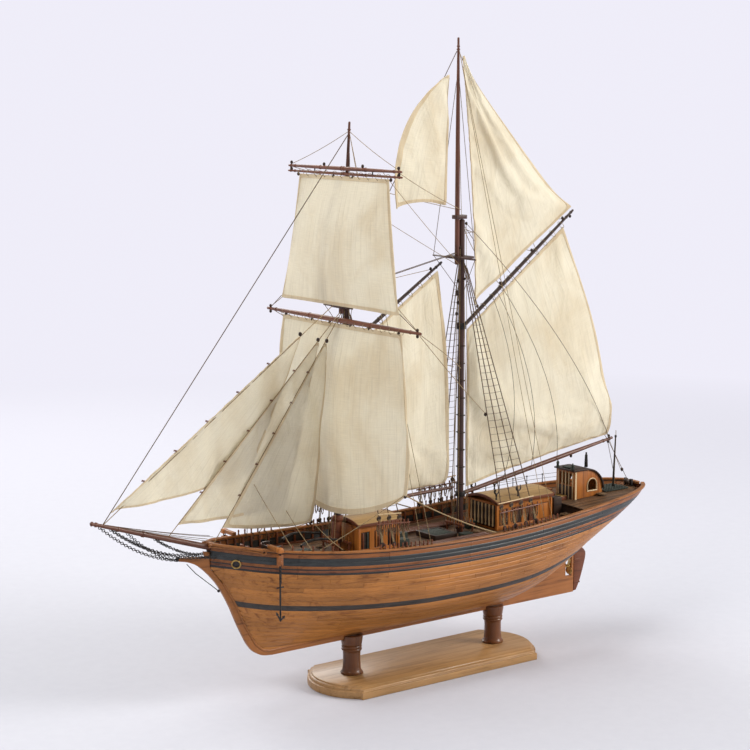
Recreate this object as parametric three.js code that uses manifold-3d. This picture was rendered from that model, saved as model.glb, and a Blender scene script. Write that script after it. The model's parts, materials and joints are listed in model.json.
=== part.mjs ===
// Wooden display model of a two-masted topsail schooner on its stand.
// Millimetres. Bow towards -X, port side towards -Y, +Z up.
// The origin is the centre of the stand's underside.
import * as THREE from 'three';
import { mergeVertices } from 'three/addons/utils/BufferGeometryUtils.js';
import Module from 'manifold-3d';

const wasm = await Module();
wasm.setup();

// ---------------------------------------------------------------- driving dimensions
const GAP = 0.3;                 // air left between two pieces that touch

const PLANK = { half: 141, width: 60, thick: 15, bulge: 27, shoulder: 5 };
const COLUMN_X = 115;            // columns stand at -115 and +115
const KEEL_Z = 61;               // underside of the keel
const KEEL_HALF = 3;             // half thickness of keel, stem and sternpost
const PLANKING_Z = 67;           // bottom of the planking amidships

const BOW_X = -322;              // planking ends at the stem
const STERN_X = 370;             // planking ends at the taffrail
const BEAM = 91;                 // half breadth at the rail amidships
const SHELL = 2.2;               // planking thickness
const CAP = { thick: 3, out: 1.8, inside: 3.6 };
const BULWARK = 20;              // main deck below the rail
const QUARTER_X = 217;           // break of the raised quarterdeck
const QUARTER_DROP = 8;          // quarterdeck below the rail
const DECK_THICK = 2;
const DECK_CAMBER = 2;

const MAIN_X = 58;               // main lower mast
const FORE_X = -137;             // fore lower mast at FORE_Z
const FORE_Z = 205;
const FORE_RAKE = 0.056;         // aft per mm of height
const DOUBLING = 7.6;            // topmast stands this far before the lower mast
const MAIN = { foot: 76, cap: 578, top: 528, truck: 804, r0: 4.5, r1: 3.7 };
const FORE = { foot: 84, cap: 512, top: 478, truck: 702, r0: 4.9, r1: 3.9 };
const TOPMAST_R = { heel: 3.1, truck: 1.4 };

const FORE_YARD = { z: 462.5, half: 161, r: 3.1, tip: 1.7 };
const TOP_YARD = { z: 646, half: 117, r: 2.4, tip: 1.4 };
const HEAD_SPAR = { z: 639.6, half: 118, r: 1.7, tip: 1.2 };

const SAIL = 0.8;                // thickness of the cloth solids
const WHEEL = { x: 262, z: 209, r: 9.5 };
const PROP = { x: 246.6, z: 98, r: 12.2 };

// ---------------------------------------------------------------- finishes
function finish(color, roughness = 0.55, metalness = 0) {
  return new THREE.MeshStandardMaterial({ color, roughness, metalness });
}
const HONEY = () => finish('#a9713f');
const PLINTH = () => finish('#b98a5c', 0.35);
const MAHOGANY = () => finish('#6e3320', 0.45);
const DARK_WOOD = () => finish('#33221c', 0.5);
const DECK_WOOD = () => finish('#8a6640');
const ROOF_WOOD = () => finish('#b08552');
const ORANGE_WOOD = () => finish('#8e4f27');
const IRON = () => finish('#23201f', 0.5, 0.7);
const BRASS = () => finish('#b08d4a', 0.35, 1);
const CLOTH = () => finish('#d9cdb0', 0.9);
const CORD = () => finish('#5b4a3c', 0.85);

// ---------------------------------------------------------------- solids
// A closed solid from two facing grids of points that share their index range.
function thickSheet(front, back) {
  const rows = front.length;
  const cols = front[0].length;
  const points = [...front.flat(), ...back.flat()];
  const index = [];
  const offset = rows * cols;
  const at = (i, j) => i * cols + j;
  const quad = (a, b, c, d) => index.push(a, b, c, a, c, d);
  for (let i = 0; i < rows - 1; i++) {
    for (let j = 0; j < cols - 1; j++) {
      quad(at(i, j), at(i + 1, j), at(i + 1, j + 1), at(i, j + 1));
      quad(offset + at(i, j), offset + at(i, j + 1), offset + at(i + 1, j + 1), offset + at(i + 1, j));
    }
  }
  const rim = [];
  for (let i = 0; i < rows - 1; i++) rim.push(at(i, 0));
  for (let j = 0; j < cols - 1; j++) rim.push(at(rows - 1, j));
  for (let i = rows - 1; i > 0; i--) rim.push(at(i, cols - 1));
  for (let j = cols - 1; j > 0; j--) rim.push(at(0, j));
  rim.forEach((a, k) => {
    const b = rim[(k + 1) % rim.length];
    quad(b, a, a + offset, b + offset);
  });
  return geometryFrom(points, index);
}

function geometryFrom(points, index) {
  const geometry = new THREE.BufferGeometry();
  geometry.setAttribute('position', new THREE.Float32BufferAttribute(points.flat(), 3));
  geometry.setIndex(index);
  return geometry;
}

// three.js geometry -> manifold solid, turned outward if it came inside out.
function solid(geometry) {
  const bare = geometry.clone();
  bare.deleteAttribute('normal');
  bare.deleteAttribute('uv');
  const merged = mergeVertices(bare, 1e-4);
  const vertProperties = new Float32Array(merged.attributes.position.array);
  const triVerts = new Uint32Array(merged.index.array);
  const make = () => new wasm.Manifold(new wasm.Mesh({ numProp: 3, vertProperties, triVerts }));
  const first = make();
  if (first.volume() >= 0) return first;
  for (let k = 0; k < triVerts.length; k += 3) {
    [triVerts[k], triVerts[k + 1]] = [triVerts[k + 1], triVerts[k]];
  }
  return make();
}

function geometryOf(manifold) {
  const mesh = manifold.getMesh();
  const geometry = new THREE.BufferGeometry();
  const positions = new Float32Array(mesh.numVert * 3);
  for (let v = 0; v < mesh.numVert; v++) {
    for (let k = 0; k < 3; k++) positions[3 * v + k] = mesh.vertProperties[mesh.numProp * v + k];
  }
  geometry.setAttribute('position', new THREE.BufferAttribute(positions, 3));
  geometry.setIndex(new THREE.BufferAttribute(new Uint32Array(mesh.triVerts), 1));
  return geometry;
}

function fuse(...parts) {
  return parts.reduce((sum, part) => sum.add(part));
}

function box(x0, x1, y0, y1, z0, z1) {
  const geometry = new THREE.BoxGeometry(x1 - x0, y1 - y0, z1 - z0);
  geometry.translate((x0 + x1) / 2, (y0 + y1) / 2, (z0 + z1) / 2);
  return solid(geometry);
}

// A turned piece whose profile [radius, along] is carried from a towards b.
function turned(a, b, profile, sides = 12) {
  const geometry = new THREE.LatheGeometry(profile.map(([r, t]) => new THREE.Vector2(r, t)), sides);
  const from = new THREE.Vector3(...a);
  const direction = new THREE.Vector3(...b).sub(from).normalize();
  geometry.applyQuaternion(new THREE.Quaternion().setFromUnitVectors(new THREE.Vector3(0, 1, 0), direction));
  geometry.translate(from.x, from.y, from.z);
  return solid(geometry);
}

function distance(a, b) {
  return Math.hypot(a[0] - b[0], a[1] - b[1], a[2] - b[2]);
}

// A round spar that tapers from r0 at a, through rMid, to r1 at b.
function spar(a, b, r0, rMid, r1, sides = 12) {
  const length = distance(a, b);
  const profile = [[0, 0], [r0, 0], [(r0 + 2 * rMid) / 3, length * 0.2], [rMid, length * 0.4],
    [rMid, length * 0.6], [(r1 + 2 * rMid) / 3, length * 0.8], [r1, length], [0, length]];
  return turned(a, b, profile, sides);
}

function rod(a, b, r, sides = 8) {
  const length = distance(a, b);
  return turned(a, b, [[0, 0], [r, 0], [r, length], [0, length]], sides);
}

// A flat ring of inner radius rIn about the line a-b.
function ring(a, b, rIn, rOut, sides = 16) {
  const length = distance(a, b);
  return turned(a, b, [[rIn, 0], [rOut, 0], [rOut, length], [rIn, length], [rIn, 0]], sides);
}

// An outline in X and Z, given thickness across the ship.
function slabXZ(shape, halfWidth, holes = []) {
  shape.holes.push(...holes);
  const options = { depth: 2 * halfWidth, bevelEnabled: false, curveSegments: 8 };
  const geometry = new THREE.ExtrudeGeometry(shape, options);
  geometry.rotateX(Math.PI / 2);
  geometry.translate(0, halfWidth, 0);
  return solid(geometry);
}

function polygon(points) {
  return new THREE.Shape(points.map(([x, z]) => new THREE.Vector2(x, z)));
}

const ship = new THREE.Group();
ship.name = 'model_sailing_ship';

function add(name, part, material) {
  const geometry = part.isBufferGeometry ? geometryOf(solid(part)) : geometryOf(part);
  geometry.computeVertexNormals();
  const mesh = new THREE.Mesh(geometry, material);
  mesh.name = name;
  ship.add(mesh);
  return mesh;
}

// ---------------------------------------------------------------- hull form
function smooth(table, x) {
  if (x <= table[0][0]) return table[0].slice(1);
  for (let k = 1; k < table.length; k++) {
    if (x > table[k][0]) continue;
    const t = (x - table[k - 1][0]) / (table[k][0] - table[k - 1][0]);
    return table[k].slice(1).map((v, c) => THREE.MathUtils.lerp(table[k - 1][c + 1], v, t));
  }
  return table[table.length - 1].slice(1);
}

function railZ(x) {
  if (x < 20) return 188.8 + 26 * ((20 - x) / 349) ** 2.5;
  return 188.8 + 6.5 * (1 - Math.cos(Math.PI * Math.min(1, (x - 20) / 310)));
}

function railHalf(x) {
  const fore = x < 40;
  const u = Math.min(0.995, fore ? (40 - x) / 366 : (x - 40) / 336);
  return fore ? BEAM * (1 - u ** 2.4) ** 0.72 : BEAM * (1 - u ** 2.6) ** 0.55;
}

const STEM_INSIDE = [
  [-326, 187], [-305, 162], [-289, 135], [-275, 104], [-260, 78], [-250, 69.5], [-240, PLANKING_Z],
];
function bottomZ(x) {
  if (x < -240) return smooth(STEM_INSIDE, x)[0];
  if (x < 100) return PLANKING_Z;
  if (x < 236) return PLANKING_Z + 0.00227 * (x - 100) ** 2;
  return 109 + 0.617 * (x - 236);
}

// Fullness of a section: y grows as (1 - (1 - t)^p)^q from keel to rail.
const SECTION = [[-322, 1.3, 1.1], [-243, 1.9, 1.15], [-150, 2.8, 0.95], [-50, 3.3, 0.75],
  [60, 3.2, 0.75], [160, 2.9, 0.95], [236, 2.6, 1.3], [370, 2.2, 1.0]];
function halfBreadth(x, z) {
  const low = bottomZ(x);
  const t = THREE.MathUtils.clamp((z - low) / (railZ(x) - low), 0, 1);
  const [p, q] = smooth(SECTION, x);
  return KEEL_HALF + Math.max(0.4, railHalf(x) - KEEL_HALF) * (1 - (1 - t) ** p) ** q;
}

function stations(x0, x1, n) {
  return Array.from({ length: n + 1 }, (_, k) => {
    const s = k / n;
    return THREE.MathUtils.lerp(x0, x1, s - 0.11 * Math.sin(2 * Math.PI * s));
  });
}

// The hull as one filled body: grown by `grow`, its floor raised by `lift`, its top at topZ(x).
function hullBody(x0, x1, grow, lift, topZ, n = 24, m = 9) {
  const xs = stations(x0, x1, n);
  const points = [];
  const index = [];
  const ringSize = 2 * m + 3;
  xs.forEach((x) => {
    const low = bottomZ(x) + lift;
    const high = topZ(x);
    const side = Array.from({ length: m + 1 }, (_, j) => {
      const z = low + (high - low) * (j / m) ** 1.25;
      return [x, Math.max(0.8, halfBreadth(x, z - lift) + grow), z];
    });
    points.push([x, 0, high], ...side.slice().reverse().map(([a, b, c]) => [a, -b, c]), ...side);
  });
  for (let i = 0; i < n; i++) {
    for (let j = 0; j < ringSize; j++) {
      const a = i * ringSize + j;
      const b = i * ringSize + ((j + 1) % ringSize);
      index.push(a, b, b + ringSize, a, b + ringSize, a + ringSize);
    }
  }
  for (let j = 1; j < ringSize - 1; j++) {
    const end = n * ringSize;
    index.push(0, j + 1, j);
    index.push(end, end + j, end + j + 1);
  }
  return solid(geometryFrom(points, index));
}

function insideHalf(x, z) {
  return halfBreadth(x, z - SHELL) - 1.6;
}

// A slab that follows the sheer: from z0(x) to z1(x), as wide as half(x), rounded up by camber.
function sheerSlab(x0, x1, half, z0, z1, camber = 0, n = 18, m = 4) {
  const xs = stations(x0, x1, n);
  const grid = (height) => xs.map((x) => Array.from({ length: m + 1 }, (_, j) => {
    const s = (2 * j) / m - 1;
    return [x, s * half(x), height(x) + camber * (1 - s * s)];
  }));
  return solid(thickSheet(grid(z0), grid(z1)));
}

const deckZ = (x) => railZ(x) - BULWARK;
const quarterZ = (x) => railZ(x) - QUARTER_DROP;

// Everything at or below the deck surface, used to sit a fitting on the deck.
const underMainDeck = sheerSlab(-312, QUARTER_X + 2, (x) => insideHalf(x, deckZ(x)) + 1,
  () => 90, (x) => deckZ(x) + GAP, DECK_CAMBER);
const underQuarterDeck = sheerSlab(QUARTER_X - 0.5, 366, (x) => insideHalf(x, quarterZ(x)) + 1,
  () => 90, (x) => quarterZ(x) + GAP, DECK_CAMBER);

// ---------------------------------------------------------------- spar positions
const foreAt = (z) => [FORE_X + (z - FORE_Z) * FORE_RAKE, 0, z];
const foreTopAt = (z) => [foreAt(z)[0] - DOUBLING, 0, z];
const mainAt = (z) => [MAIN_X, 0, z];
const mainTopAt = (z) => [MAIN_X - DOUBLING, 0, z];
const BOWSPRIT = { heel: [-296, 0, 199.1], end: [-477, 0, 257], r0: 3.6, r1: 1.9 };

function mastRadius(mast, z) {
  return THREE.MathUtils.lerp(mast.r0, mast.r1, (z - mast.foot) / (mast.cap - mast.foot));
}

// ---------------------------------------------------------------- stand
function standBase() {
  const { half, width, thick, bulge, shoulder } = PLANK;
  const inner = width - shoulder;
  const radius = (inner ** 2 + bulge ** 2) / (2 * bulge);
  const sweep = Math.asin(inner / radius);
  const outline = (inset) => {
    const shape = new THREE.Shape();
    shape.moveTo(-half + inset, -width + inset);
    shape.lineTo(half - inset, -width + inset);
    shape.lineTo(half - inset, -inner);
    shape.absarc(half + bulge - radius, 0, radius - inset, -sweep, sweep, false);
    shape.lineTo(half - inset, width - inset);
    shape.lineTo(-half + inset, width - inset);
    shape.lineTo(-half + inset, inner);
    shape.absarc(-half - bulge + radius, 0, radius - inset, Math.PI - sweep, Math.PI + sweep, false);
    return shape;
  };
  const layer = (inset, z0, z1) => {
    const options = { depth: z1 - z0, bevelEnabled: false, curveSegments: 9 };
    const geometry = new THREE.ExtrudeGeometry(outline(inset), options);
    geometry.translate(0, 0, z0);
    return solid(geometry);
  };
  return fuse(
    layer(0, 0, thick - 6),
    layer(2.4, thick - 6.2, thick - 3.6),
    layer(3.8, thick - 3.8, thick - 2),
    layer(5.4, thick - 2.2, thick),
  );
}

function standColumn(x) {
  const z0 = PLANK.thick + GAP;
  const turnedProfile = [[0, z0], [14.2, z0], [14.2, z0 + 2.4], [12.8, z0 + 3.6],
    [11.8, z0 + 6], [11.3, z0 + 10],
    [11, 38], [11.2, 43], [11.3, 45], [12.4, 45.6], [13, 47], [12.2, 48.4], [12.9, 49.6], [12.9, 51],
    [12, 52.2], [12.8, 53.4], [13, 55], [13.6, 58], [14.2, 62], [14, 65.2], [0, 65.2]];
  const column = turned([x, 0, 0], [x, 0, 1], turnedProfile, 20);
  const slot = box(x - 20, x + 20, -KEEL_HALF - GAP, KEEL_HALF + GAP, KEEL_Z - GAP, 80);
  return column.subtract(slot);
}

add('stand_base', standBase(), PLINTH());
add('stand_column_fore', standColumn(-COLUMN_X), MAHOGANY());
add('stand_column_aft', standColumn(COLUMN_X), MAHOGANY());

// ---------------------------------------------------------------- hull
const hullTop = (x) => railZ(x) - CAP.thick - GAP;
const bowspritHole = rod(BOWSPRIT.heel, BOWSPRIT.end, BOWSPRIT.r0 + GAP, 16);

function keelPlate() {
  const shape = new THREE.Shape();
  shape.moveTo(255.2, KEEL_Z);
  shape.lineTo(-236, KEEL_Z);
  shape.splineThru([[-253, 64], [-268, 76], [-283, 104], [-297, 135],
    [-313, 162], [-334, 184], [-350, 193], [-364, 196.5]]
    .map(([x, z]) => new THREE.Vector2(x, z)));
  shape.lineTo(-364.5, 200);
  shape.lineTo(-345, 198.4);
  shape.lineTo(-327, 195);
  shape.lineTo(-329, 203);
  shape.lineTo(-300, 196);
  shape.lineTo(-230, 90);
  shape.lineTo(120, 90);
  shape.lineTo(255.2, 135);
  const aperture = polygon([[241, 84], [251.6, 84], [251.6, 131], [241, 127]]);
  const lower = slabXZ(shape, KEEL_HALF, [aperture]);
  return lower.subtract(hullBody(BOW_X - GAP, STERN_X + GAP, GAP, -GAP, (x) => railZ(x) + 20));
}

add('keel', keelPlate(), HONEY());

const outerHull = hullBody(BOW_X, STERN_X, 0, 0, hullTop);
const innerHull = hullBody(BOW_X + 3, STERN_X - 3, -1.6, SHELL, (x) => railZ(x) + 6);
add('hull_shell', outerHull.subtract(innerHull).subtract(bowspritHole), HONEY());

function railCap() {
  const outer = sheerSlab(BOW_X - 3, STERN_X + 2, (x) => railHalf(x) + CAP.out,
    (x) => railZ(x) - CAP.thick, railZ, 0, 30, 2);
  const inner = sheerSlab(BOW_X + 3, STERN_X - 4, (x) => railHalf(x) - CAP.inside,
    (x) => railZ(x) - CAP.thick - 3, (x) => railZ(x) + 3, 0, 30, 2);
  return outer.subtract(inner).subtract(bowspritHole);
}
add('rail_cap', railCap(), MAHOGANY());

const mastHole = (at, mast, z) => rod(at(z - 30), at(z + 30), mastRadius(mast, z) + 0.6, 20);
const betweenSides = hullBody(BOW_X + 5, STERN_X - 5, -1.6 - 2 * GAP, SHELL + GAP, (x) => railZ(x) + 6);
const mainDeck = sheerSlab(-310, QUARTER_X - GAP, (x) => insideHalf(x, deckZ(x)) + 2,
  (x) => deckZ(x) - DECK_THICK, deckZ, DECK_CAMBER).intersect(betweenSides);
const mainMastHole = mastHole(mainAt, MAIN, deckZ(MAIN_X));
const foreMastHole = mastHole(foreAt, FORE, deckZ(FORE_X));
add('main_deck', mainDeck.subtract(mainMastHole).subtract(foreMastHole),
  DECK_WOOD());

function quarterDeck() {
  const floor = sheerSlab(QUARTER_X, 364, (x) => insideHalf(x, quarterZ(x)) + 2,
    (x) => quarterZ(x) - DECK_THICK, quarterZ, DECK_CAMBER);
  const bulkhead = sheerSlab(QUARTER_X, QUARTER_X + 2, (x) => insideHalf(x, quarterZ(x)) + 2,
    (x) => deckZ(x), (x) => quarterZ(x) - 0.5, DECK_CAMBER, 1);
  return fuse(floor, bulkhead).intersect(betweenSides);
}
add('quarter_deck', quarterDeck(), DECK_WOOD());

// ---------------------------------------------------------------- rudder and propeller
function rudder() {
  const shape = new THREE.Shape();
  shape.moveTo(257, 62);
  shape.lineTo(261.5, 62.6);
  const blade = [[268, 76], [274, 93], [277.8, 108], [277, 115], [270.5, 121.6]];
  shape.splineThru(blade.map(([x, z]) => new THREE.Vector2(x, z)));
  shape.lineTo(257, 116.5);
  const strap = (z) => box(257, 268, -2.3, 2.3, z, z + 2.2);
  return fuse(slabXZ(shape, 1.8), strap(72), strap(104));
}
add('rudder', rudder(), MAHOGANY());

function propeller() {
  const { x, z, r } = PROP;
  const hubProfile = [[0, 0], [1.6, 0], [2.2, 3], [2.4, 7], [1.2, 9.4], [0, 9.8]];
  const hub = turned([x - 5.2, 0, z], [x + 5, 0, z], hubProfile, 12);
  const blades = [0, 1, 2].map((k) => {
    const blade = new THREE.CylinderGeometry(4.6, 4.6, 0.9, 14);
    blade.rotateX(Math.PI / 2);
    blade.scale(1, 1.2, 1);
    blade.rotateY(THREE.MathUtils.degToRad(62));
    blade.translate(0, r - 5.6, 0);
    blade.rotateX(k * 2 * Math.PI / 3);
    blade.translate(x, 0, z);
    return solid(blade);
  });
  return fuse(hub, ...blades);
}
add('propeller', propeller(), BRASS());

// ---------------------------------------------------------------- masts and bowsprit
add('bowsprit', spar(BOWSPRIT.heel, BOWSPRIT.end, BOWSPRIT.r0, 3.1, BOWSPRIT.r1), MAHOGANY());

function lowerMast(at, mast) {
  return spar(at(mast.foot), at(mast.cap - GAP), mast.r0, (mast.r0 + mast.r1) / 2, mast.r1, 14);
}
add('fore_lower_mast', lowerMast(foreAt, FORE), DARK_WOOD());
add('main_lower_mast', lowerMast(mainAt, MAIN), DARK_WOOD());
function topmast(at, mast, middle) {
  return spar(at(mast.top - 8), at(mast.truck), TOPMAST_R.heel, middle, TOPMAST_R.truck);
}

add('fore_topmast', topmast(foreTopAt, FORE, 2.5), MAHOGANY());
add('main_topmast', topmast(mainTopAt, MAIN, 2.8), MAHOGANY());

function mastTop(at, topAt, mast, halfWidth, spread) {
  const z = mast.top;
  const x = at(z)[0];
  const plate = box(x - 15, x + 9, -halfWidth, halfWidth, z, z + 3);
  const spreader = rod([x - 12.5, -spread, z + 1.5], [x - 12.5, spread, z + 1.5], 1.1, 8);
  const lower = rod(at(z - 10), at(z + 10), mastRadius(mast, z) + GAP, 18);
  const upper = rod(topAt(z - 10), topAt(z + 10), TOPMAST_R.heel + GAP, 18);
  return fuse(plate, spreader).subtract(lower).subtract(upper);
}
add('fore_top', mastTop(foreAt, foreTopAt, FORE, 12, 30), DARK_WOOD());
add('main_top', mastTop(mainAt, mainTopAt, MAIN, 14, 43), DARK_WOOD());

function mastCap(at, topAt, mast) {
  const z = mast.cap;
  const block = box(topAt(z)[0] - 5, at(z)[0] + 4.6, -4.8, 4.8, z, z + 5);
  return block.subtract(rod(topAt(z - 10), topAt(z + 15), TOPMAST_R.heel + GAP, 18));
}
add('fore_cap', mastCap(foreAt, foreTopAt, FORE), DARK_WOOD());
add('main_cap', mastCap(mainAt, mainTopAt, MAIN), DARK_WOOD());

// ---------------------------------------------------------------- yards, booms and gaffs
function yard(at, mastR, { z, half, r, tip }, collar = true) {
  const [x] = at(z);
  const sparX = x - mastR - r - 1.6;
  const pole = spar([sparX, -half, z], [sparX, half, z], tip, r, tip);
  if (!collar) return pole;
  const band = ring(at(z - 2), at(z + 2), mastR + 0.7, mastR + 2);
  const yoke = box(sparX, x - mastR - 1, -2.2, 2.2, z - 1.6, z + 1.6);
  return fuse(pole, band, yoke);
}
const foreYardX = foreAt(FORE_YARD.z)[0] - mastRadius(FORE, FORE_YARD.z) - FORE_YARD.r - 1.6;
const topYardX = foreTopAt(TOP_YARD.z)[0] - 2.4 - TOP_YARD.r - 1.6;
add('fore_yard', yard(foreAt, mastRadius(FORE, FORE_YARD.z), FORE_YARD), MAHOGANY());
add('topsail_yard', yard(foreTopAt, 2.4, TOP_YARD), MAHOGANY());
const headSparEnds = [-1, 1].map((side) => [topYardX, side * HEAD_SPAR.half, HEAD_SPAR.z]);
add('topsail_head_spar', spar(...headSparEnds, HEAD_SPAR.tip, HEAD_SPAR.r, HEAD_SPAR.tip), MAHOGANY());

// A boom or gaff with a collar round its mast, rising by `rise` over its length.
function swinging(at, mast, { z, endX, endZ, radii }) {
  const [r0, rMid, r1] = radii;
  const radius = mastRadius(mast, z);
  const [x] = at(z);
  const pitch = Math.atan2(endZ - z, endX - x);
  const start = x + radius + 1 + r0 * Math.sin(pitch);
  const pole = spar([start, 0, z + radius * Math.tan(pitch)], [endX, 0, endZ], r0, rMid, r1);
  const band = ring(at(z - 2.6), at(z + 2.6 + radius * Math.tan(pitch)), radius + 0.7, radius + 2.2);
  return fuse(pole, band);
}
const MAIN_BOOM = { z: 222.5, endX: 326, endZ: 267, radii: [2.6, 3, 1.8] };
const MAIN_GAFF = { z: 440, endX: 247, endZ: 582, radii: [2.5, 2.6, 1.5] };
const FORE_BOOM = { z: 228, endX: 47, endZ: 233, radii: [2.2, 2.5, 1.7] };
const FORE_GAFF = { z: 427, endX: 26, endZ: 525, radii: [2.4, 2.4, 1.5] };
add('main_boom', swinging(mainAt, MAIN, MAIN_BOOM), MAHOGANY());
add('main_gaff', swinging(mainAt, MAIN, MAIN_GAFF), DARK_WOOD());
add('fore_boom', swinging(foreAt, FORE, FORE_BOOM), MAHOGANY());
add('fore_gaff', swinging(foreAt, FORE, FORE_GAFF), DARK_WOOD());

// ---------------------------------------------------------------- sails
// corners run luff top, leech top, clew, tack. Edges and middle bow out by the given vectors.
const FLAT = [0, 0, 0];
function sail({ corners, belly = FLAT, leech = FLAT, foot = FLAT, luff = FLAT, n = 7, m = 8 }) {
  const [A, B, C, D] = corners.map((c) => new THREE.Vector3(...c));
  const bow = { belly, leech, foot, luff };
  for (const key of Object.keys(bow)) bow[key] = new THREE.Vector3(...bow[key]);
  const point = (u, v) => {
    const head = A.clone().lerp(B, u);
    const base = D.clone().lerp(C, u);
    const p = head.lerp(base, v);
    const su = 4 * u * (1 - u);
    const sv = 4 * v * (1 - v);
    p.addScaledVector(bow.belly, su * sv);
    p.addScaledVector(bow.leech, u ** 3 * sv);
    p.addScaledVector(bow.luff, (1 - u) ** 3 * sv);
    p.addScaledVector(bow.foot, v ** 3 * su);
    return p;
  };
  const grid = (side) => Array.from({ length: n + 1 }, (_, i) => Array.from({ length: m + 1 }, (_, j) => {
    const u = i / n;
    const v = j / m;
    const e = 0.02;
    const du = point(Math.min(1, u + e), v).sub(point(Math.max(0, u - e), v));
    const dv = point(u, Math.min(1, v + e)).sub(point(u, Math.max(0, v - e)));
    const normal = du.cross(dv).normalize();
    return point(u, v).addScaledVector(normal, (side * SAIL) / 2).toArray();
  }));
  return solid(thickSheet(grid(-1), grid(1)));
}

const SAILS = {
  flying_jib: { corners: [[-192, 0, 447], [-190, 0, 446], [-262, 11, 291], [-450, 0, 266]],
    belly: [0, 6, 0], foot: [0, 0, -4] },
  jib: { corners: [[-165, 0, 438], [-163, 0, 437], [-214, 9, 247], [-363, 0, 240]],
    belly: [0, 4, 0], foot: [0, 0, -4] },
  fore_staysail: { corners: [[-154, -1, 436], [-152, -1, 435], [-176, -2, 219], [-302, 0, 228]],
    belly: [0, -7, 0], leech: [4, 0, 0], foot: [0, 0, -3] },
  topsail: { corners: [[topYardX, 92, 636.6], [topYardX, -92, 636.6],
    [foreYardX - 3, -124, 482], [foreYardX - 3, 124, 482]],
    belly: [-14, 0, 0], leech: [0, 3, 0], luff: [0, -3, 0], foot: [-4, 0, 3] },
  course: { corners: [[foreYardX, 124, 458], [foreYardX, -124, 458], [-131, -131, 268], [-131, 131, 268]],
    belly: [-19, 0, 0], leech: [3, -8, 0], luff: [3, 8, 0], foot: [-15, 0, -36] },
  foresail: { corners: [[-116.5, 0, 422], [19, 0, 514], [31, 0, 240], [-125, 0, 235]],
    belly: [0, -12, 0], leech: [9, -4, 0] },
  topmast_staysail: { corners: [[33, 0, 757], [36, 0, 758], [33, 0, 597], [-45, 0, 594]],
    belly: [0, -5, 0], luff: [-29, 0, 14], foot: [0, 0, 8] },
  mainsail: { corners: [[67, 0, 436], [229, 0, 560], [315, 0, 273], [68, 0, 231]],
    belly: [0, -22, 0], leech: [12, -18, 0], foot: [0, 0, 3] },
  gaff_topsail: { corners: [[57.5, 0, 781], [59.5, 0, 781.5], [243, 0, 586.5], [82, 0, 466.5]],
    belly: [0, -10, 0], luff: [4, 0, 0], leech: [0, 0, 0], foot: [0, 0, 4] },
};
for (const [name, shape] of Object.entries(SAILS)) add(name, sail(shape), CLOTH());

// ---------------------------------------------------------------- deckhouses
function onMainDeck(part) {
  return part.subtract(underMainDeck);
}

// A box-shaped house with recessed panels down its sides, standing on the main deck.
function house(x0, x1, half, top, panels) {
  let walls = box(x0, x1, -half, half, deckZ((x0 + x1) / 2) - 12, top);
  const pitch = (x1 - x0) / panels;
  for (let k = 0; k < panels; k++) {
    for (const side of [-1, 1]) {
      const x = x0 + pitch * (k + 0.5);
      const reach = pitch * 0.32;
      const recess = box(x - reach, x + reach, side * half - 1, side * half + 1, top - 30, top - 8);
      walls = walls.subtract(recess);
    }
  }
  return onMainDeck(walls);
}

function camberedRoof(x0, x1, half, eave, crown, thick = 2.2) {
  return sheerSlab(x0, x1, () => half, () => eave, () => eave + thick, crown - eave, 1, 12);
}

add('fore_deckhouse', house(-121, -60, 24, 208, 3), ORANGE_WOOD());
add('fore_deckhouse_roof', camberedRoof(-125, -56, 27.5, 208.4, 214), ROOF_WOOD());
add('main_deckhouse', house(97, 190, 28, 208.5, 4), ORANGE_WOOD());
add('main_deckhouse_roof', camberedRoof(93, 194, 31.5, 209, 215.5), ROOF_WOOD());

// The wheelhouse side outline: upright fore end, level top, round aft shoulder.
const CABIN = { x0: 241, arcX: 262, arcZ: 202, r: 29.5, half: 18, wall: 2.4 };
function cabinOutline(inset, floor) {
  const { x0, arcX, arcZ, r } = CABIN;
  const shape = new THREE.Shape();
  shape.moveTo(x0 + inset, floor);
  shape.lineTo(arcX + r - inset, floor);
  shape.lineTo(arcX + r - inset, arcZ);
  shape.absarc(arcX, arcZ, r - inset, 0, Math.PI / 2, false);
  shape.lineTo(x0 + inset, arcZ + r - inset);
  return shape;
}

function wheelhouse() {
  const { x0, half, wall } = CABIN;
  let cabin = slabXZ(cabinOutline(0, 185), half).subtract(slabXZ(cabinOutline(wall, 180), half - wall));
  const side = new THREE.Shape();
  side.moveTo(264, 203);
  side.lineTo(281, 203);
  side.lineTo(281, 211);
  side.absarc(272.5, 211, 8.5, 0, Math.PI, false);
  cabin = cabin.subtract(slabXZ(side, half + 5));
  for (const y of [-10, -3.5, 3, 9.5]) {
    cabin = cabin.subtract(box(x0 - 2, x0 + wall + 1, y - 2.2, y + 2.8, 212, 228));
  }
  return cabin.subtract(underQuarterDeck);
}
add('wheelhouse', wheelhouse(), ORANGE_WOOD());

function wheelhouseRoof() {
  const { x0, arcX, arcZ, r, half } = CABIN;
  const low = r + GAP;
  const high = r + 2.4;
  const shape = new THREE.Shape();
  shape.moveTo(x0 - 3, arcZ + low);
  shape.lineTo(arcX, arcZ + low);
  shape.absarc(arcX, arcZ, low, Math.PI / 2, 0.06, true);
  shape.absarc(arcX, arcZ, high, 0.06, Math.PI / 2, false);
  shape.lineTo(x0 - 3, arcZ + high);
  return slabXZ(shape, half + 2.4);
}
add('wheelhouse_roof', wheelhouseRoof(), DARK_WOOD());

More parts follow.
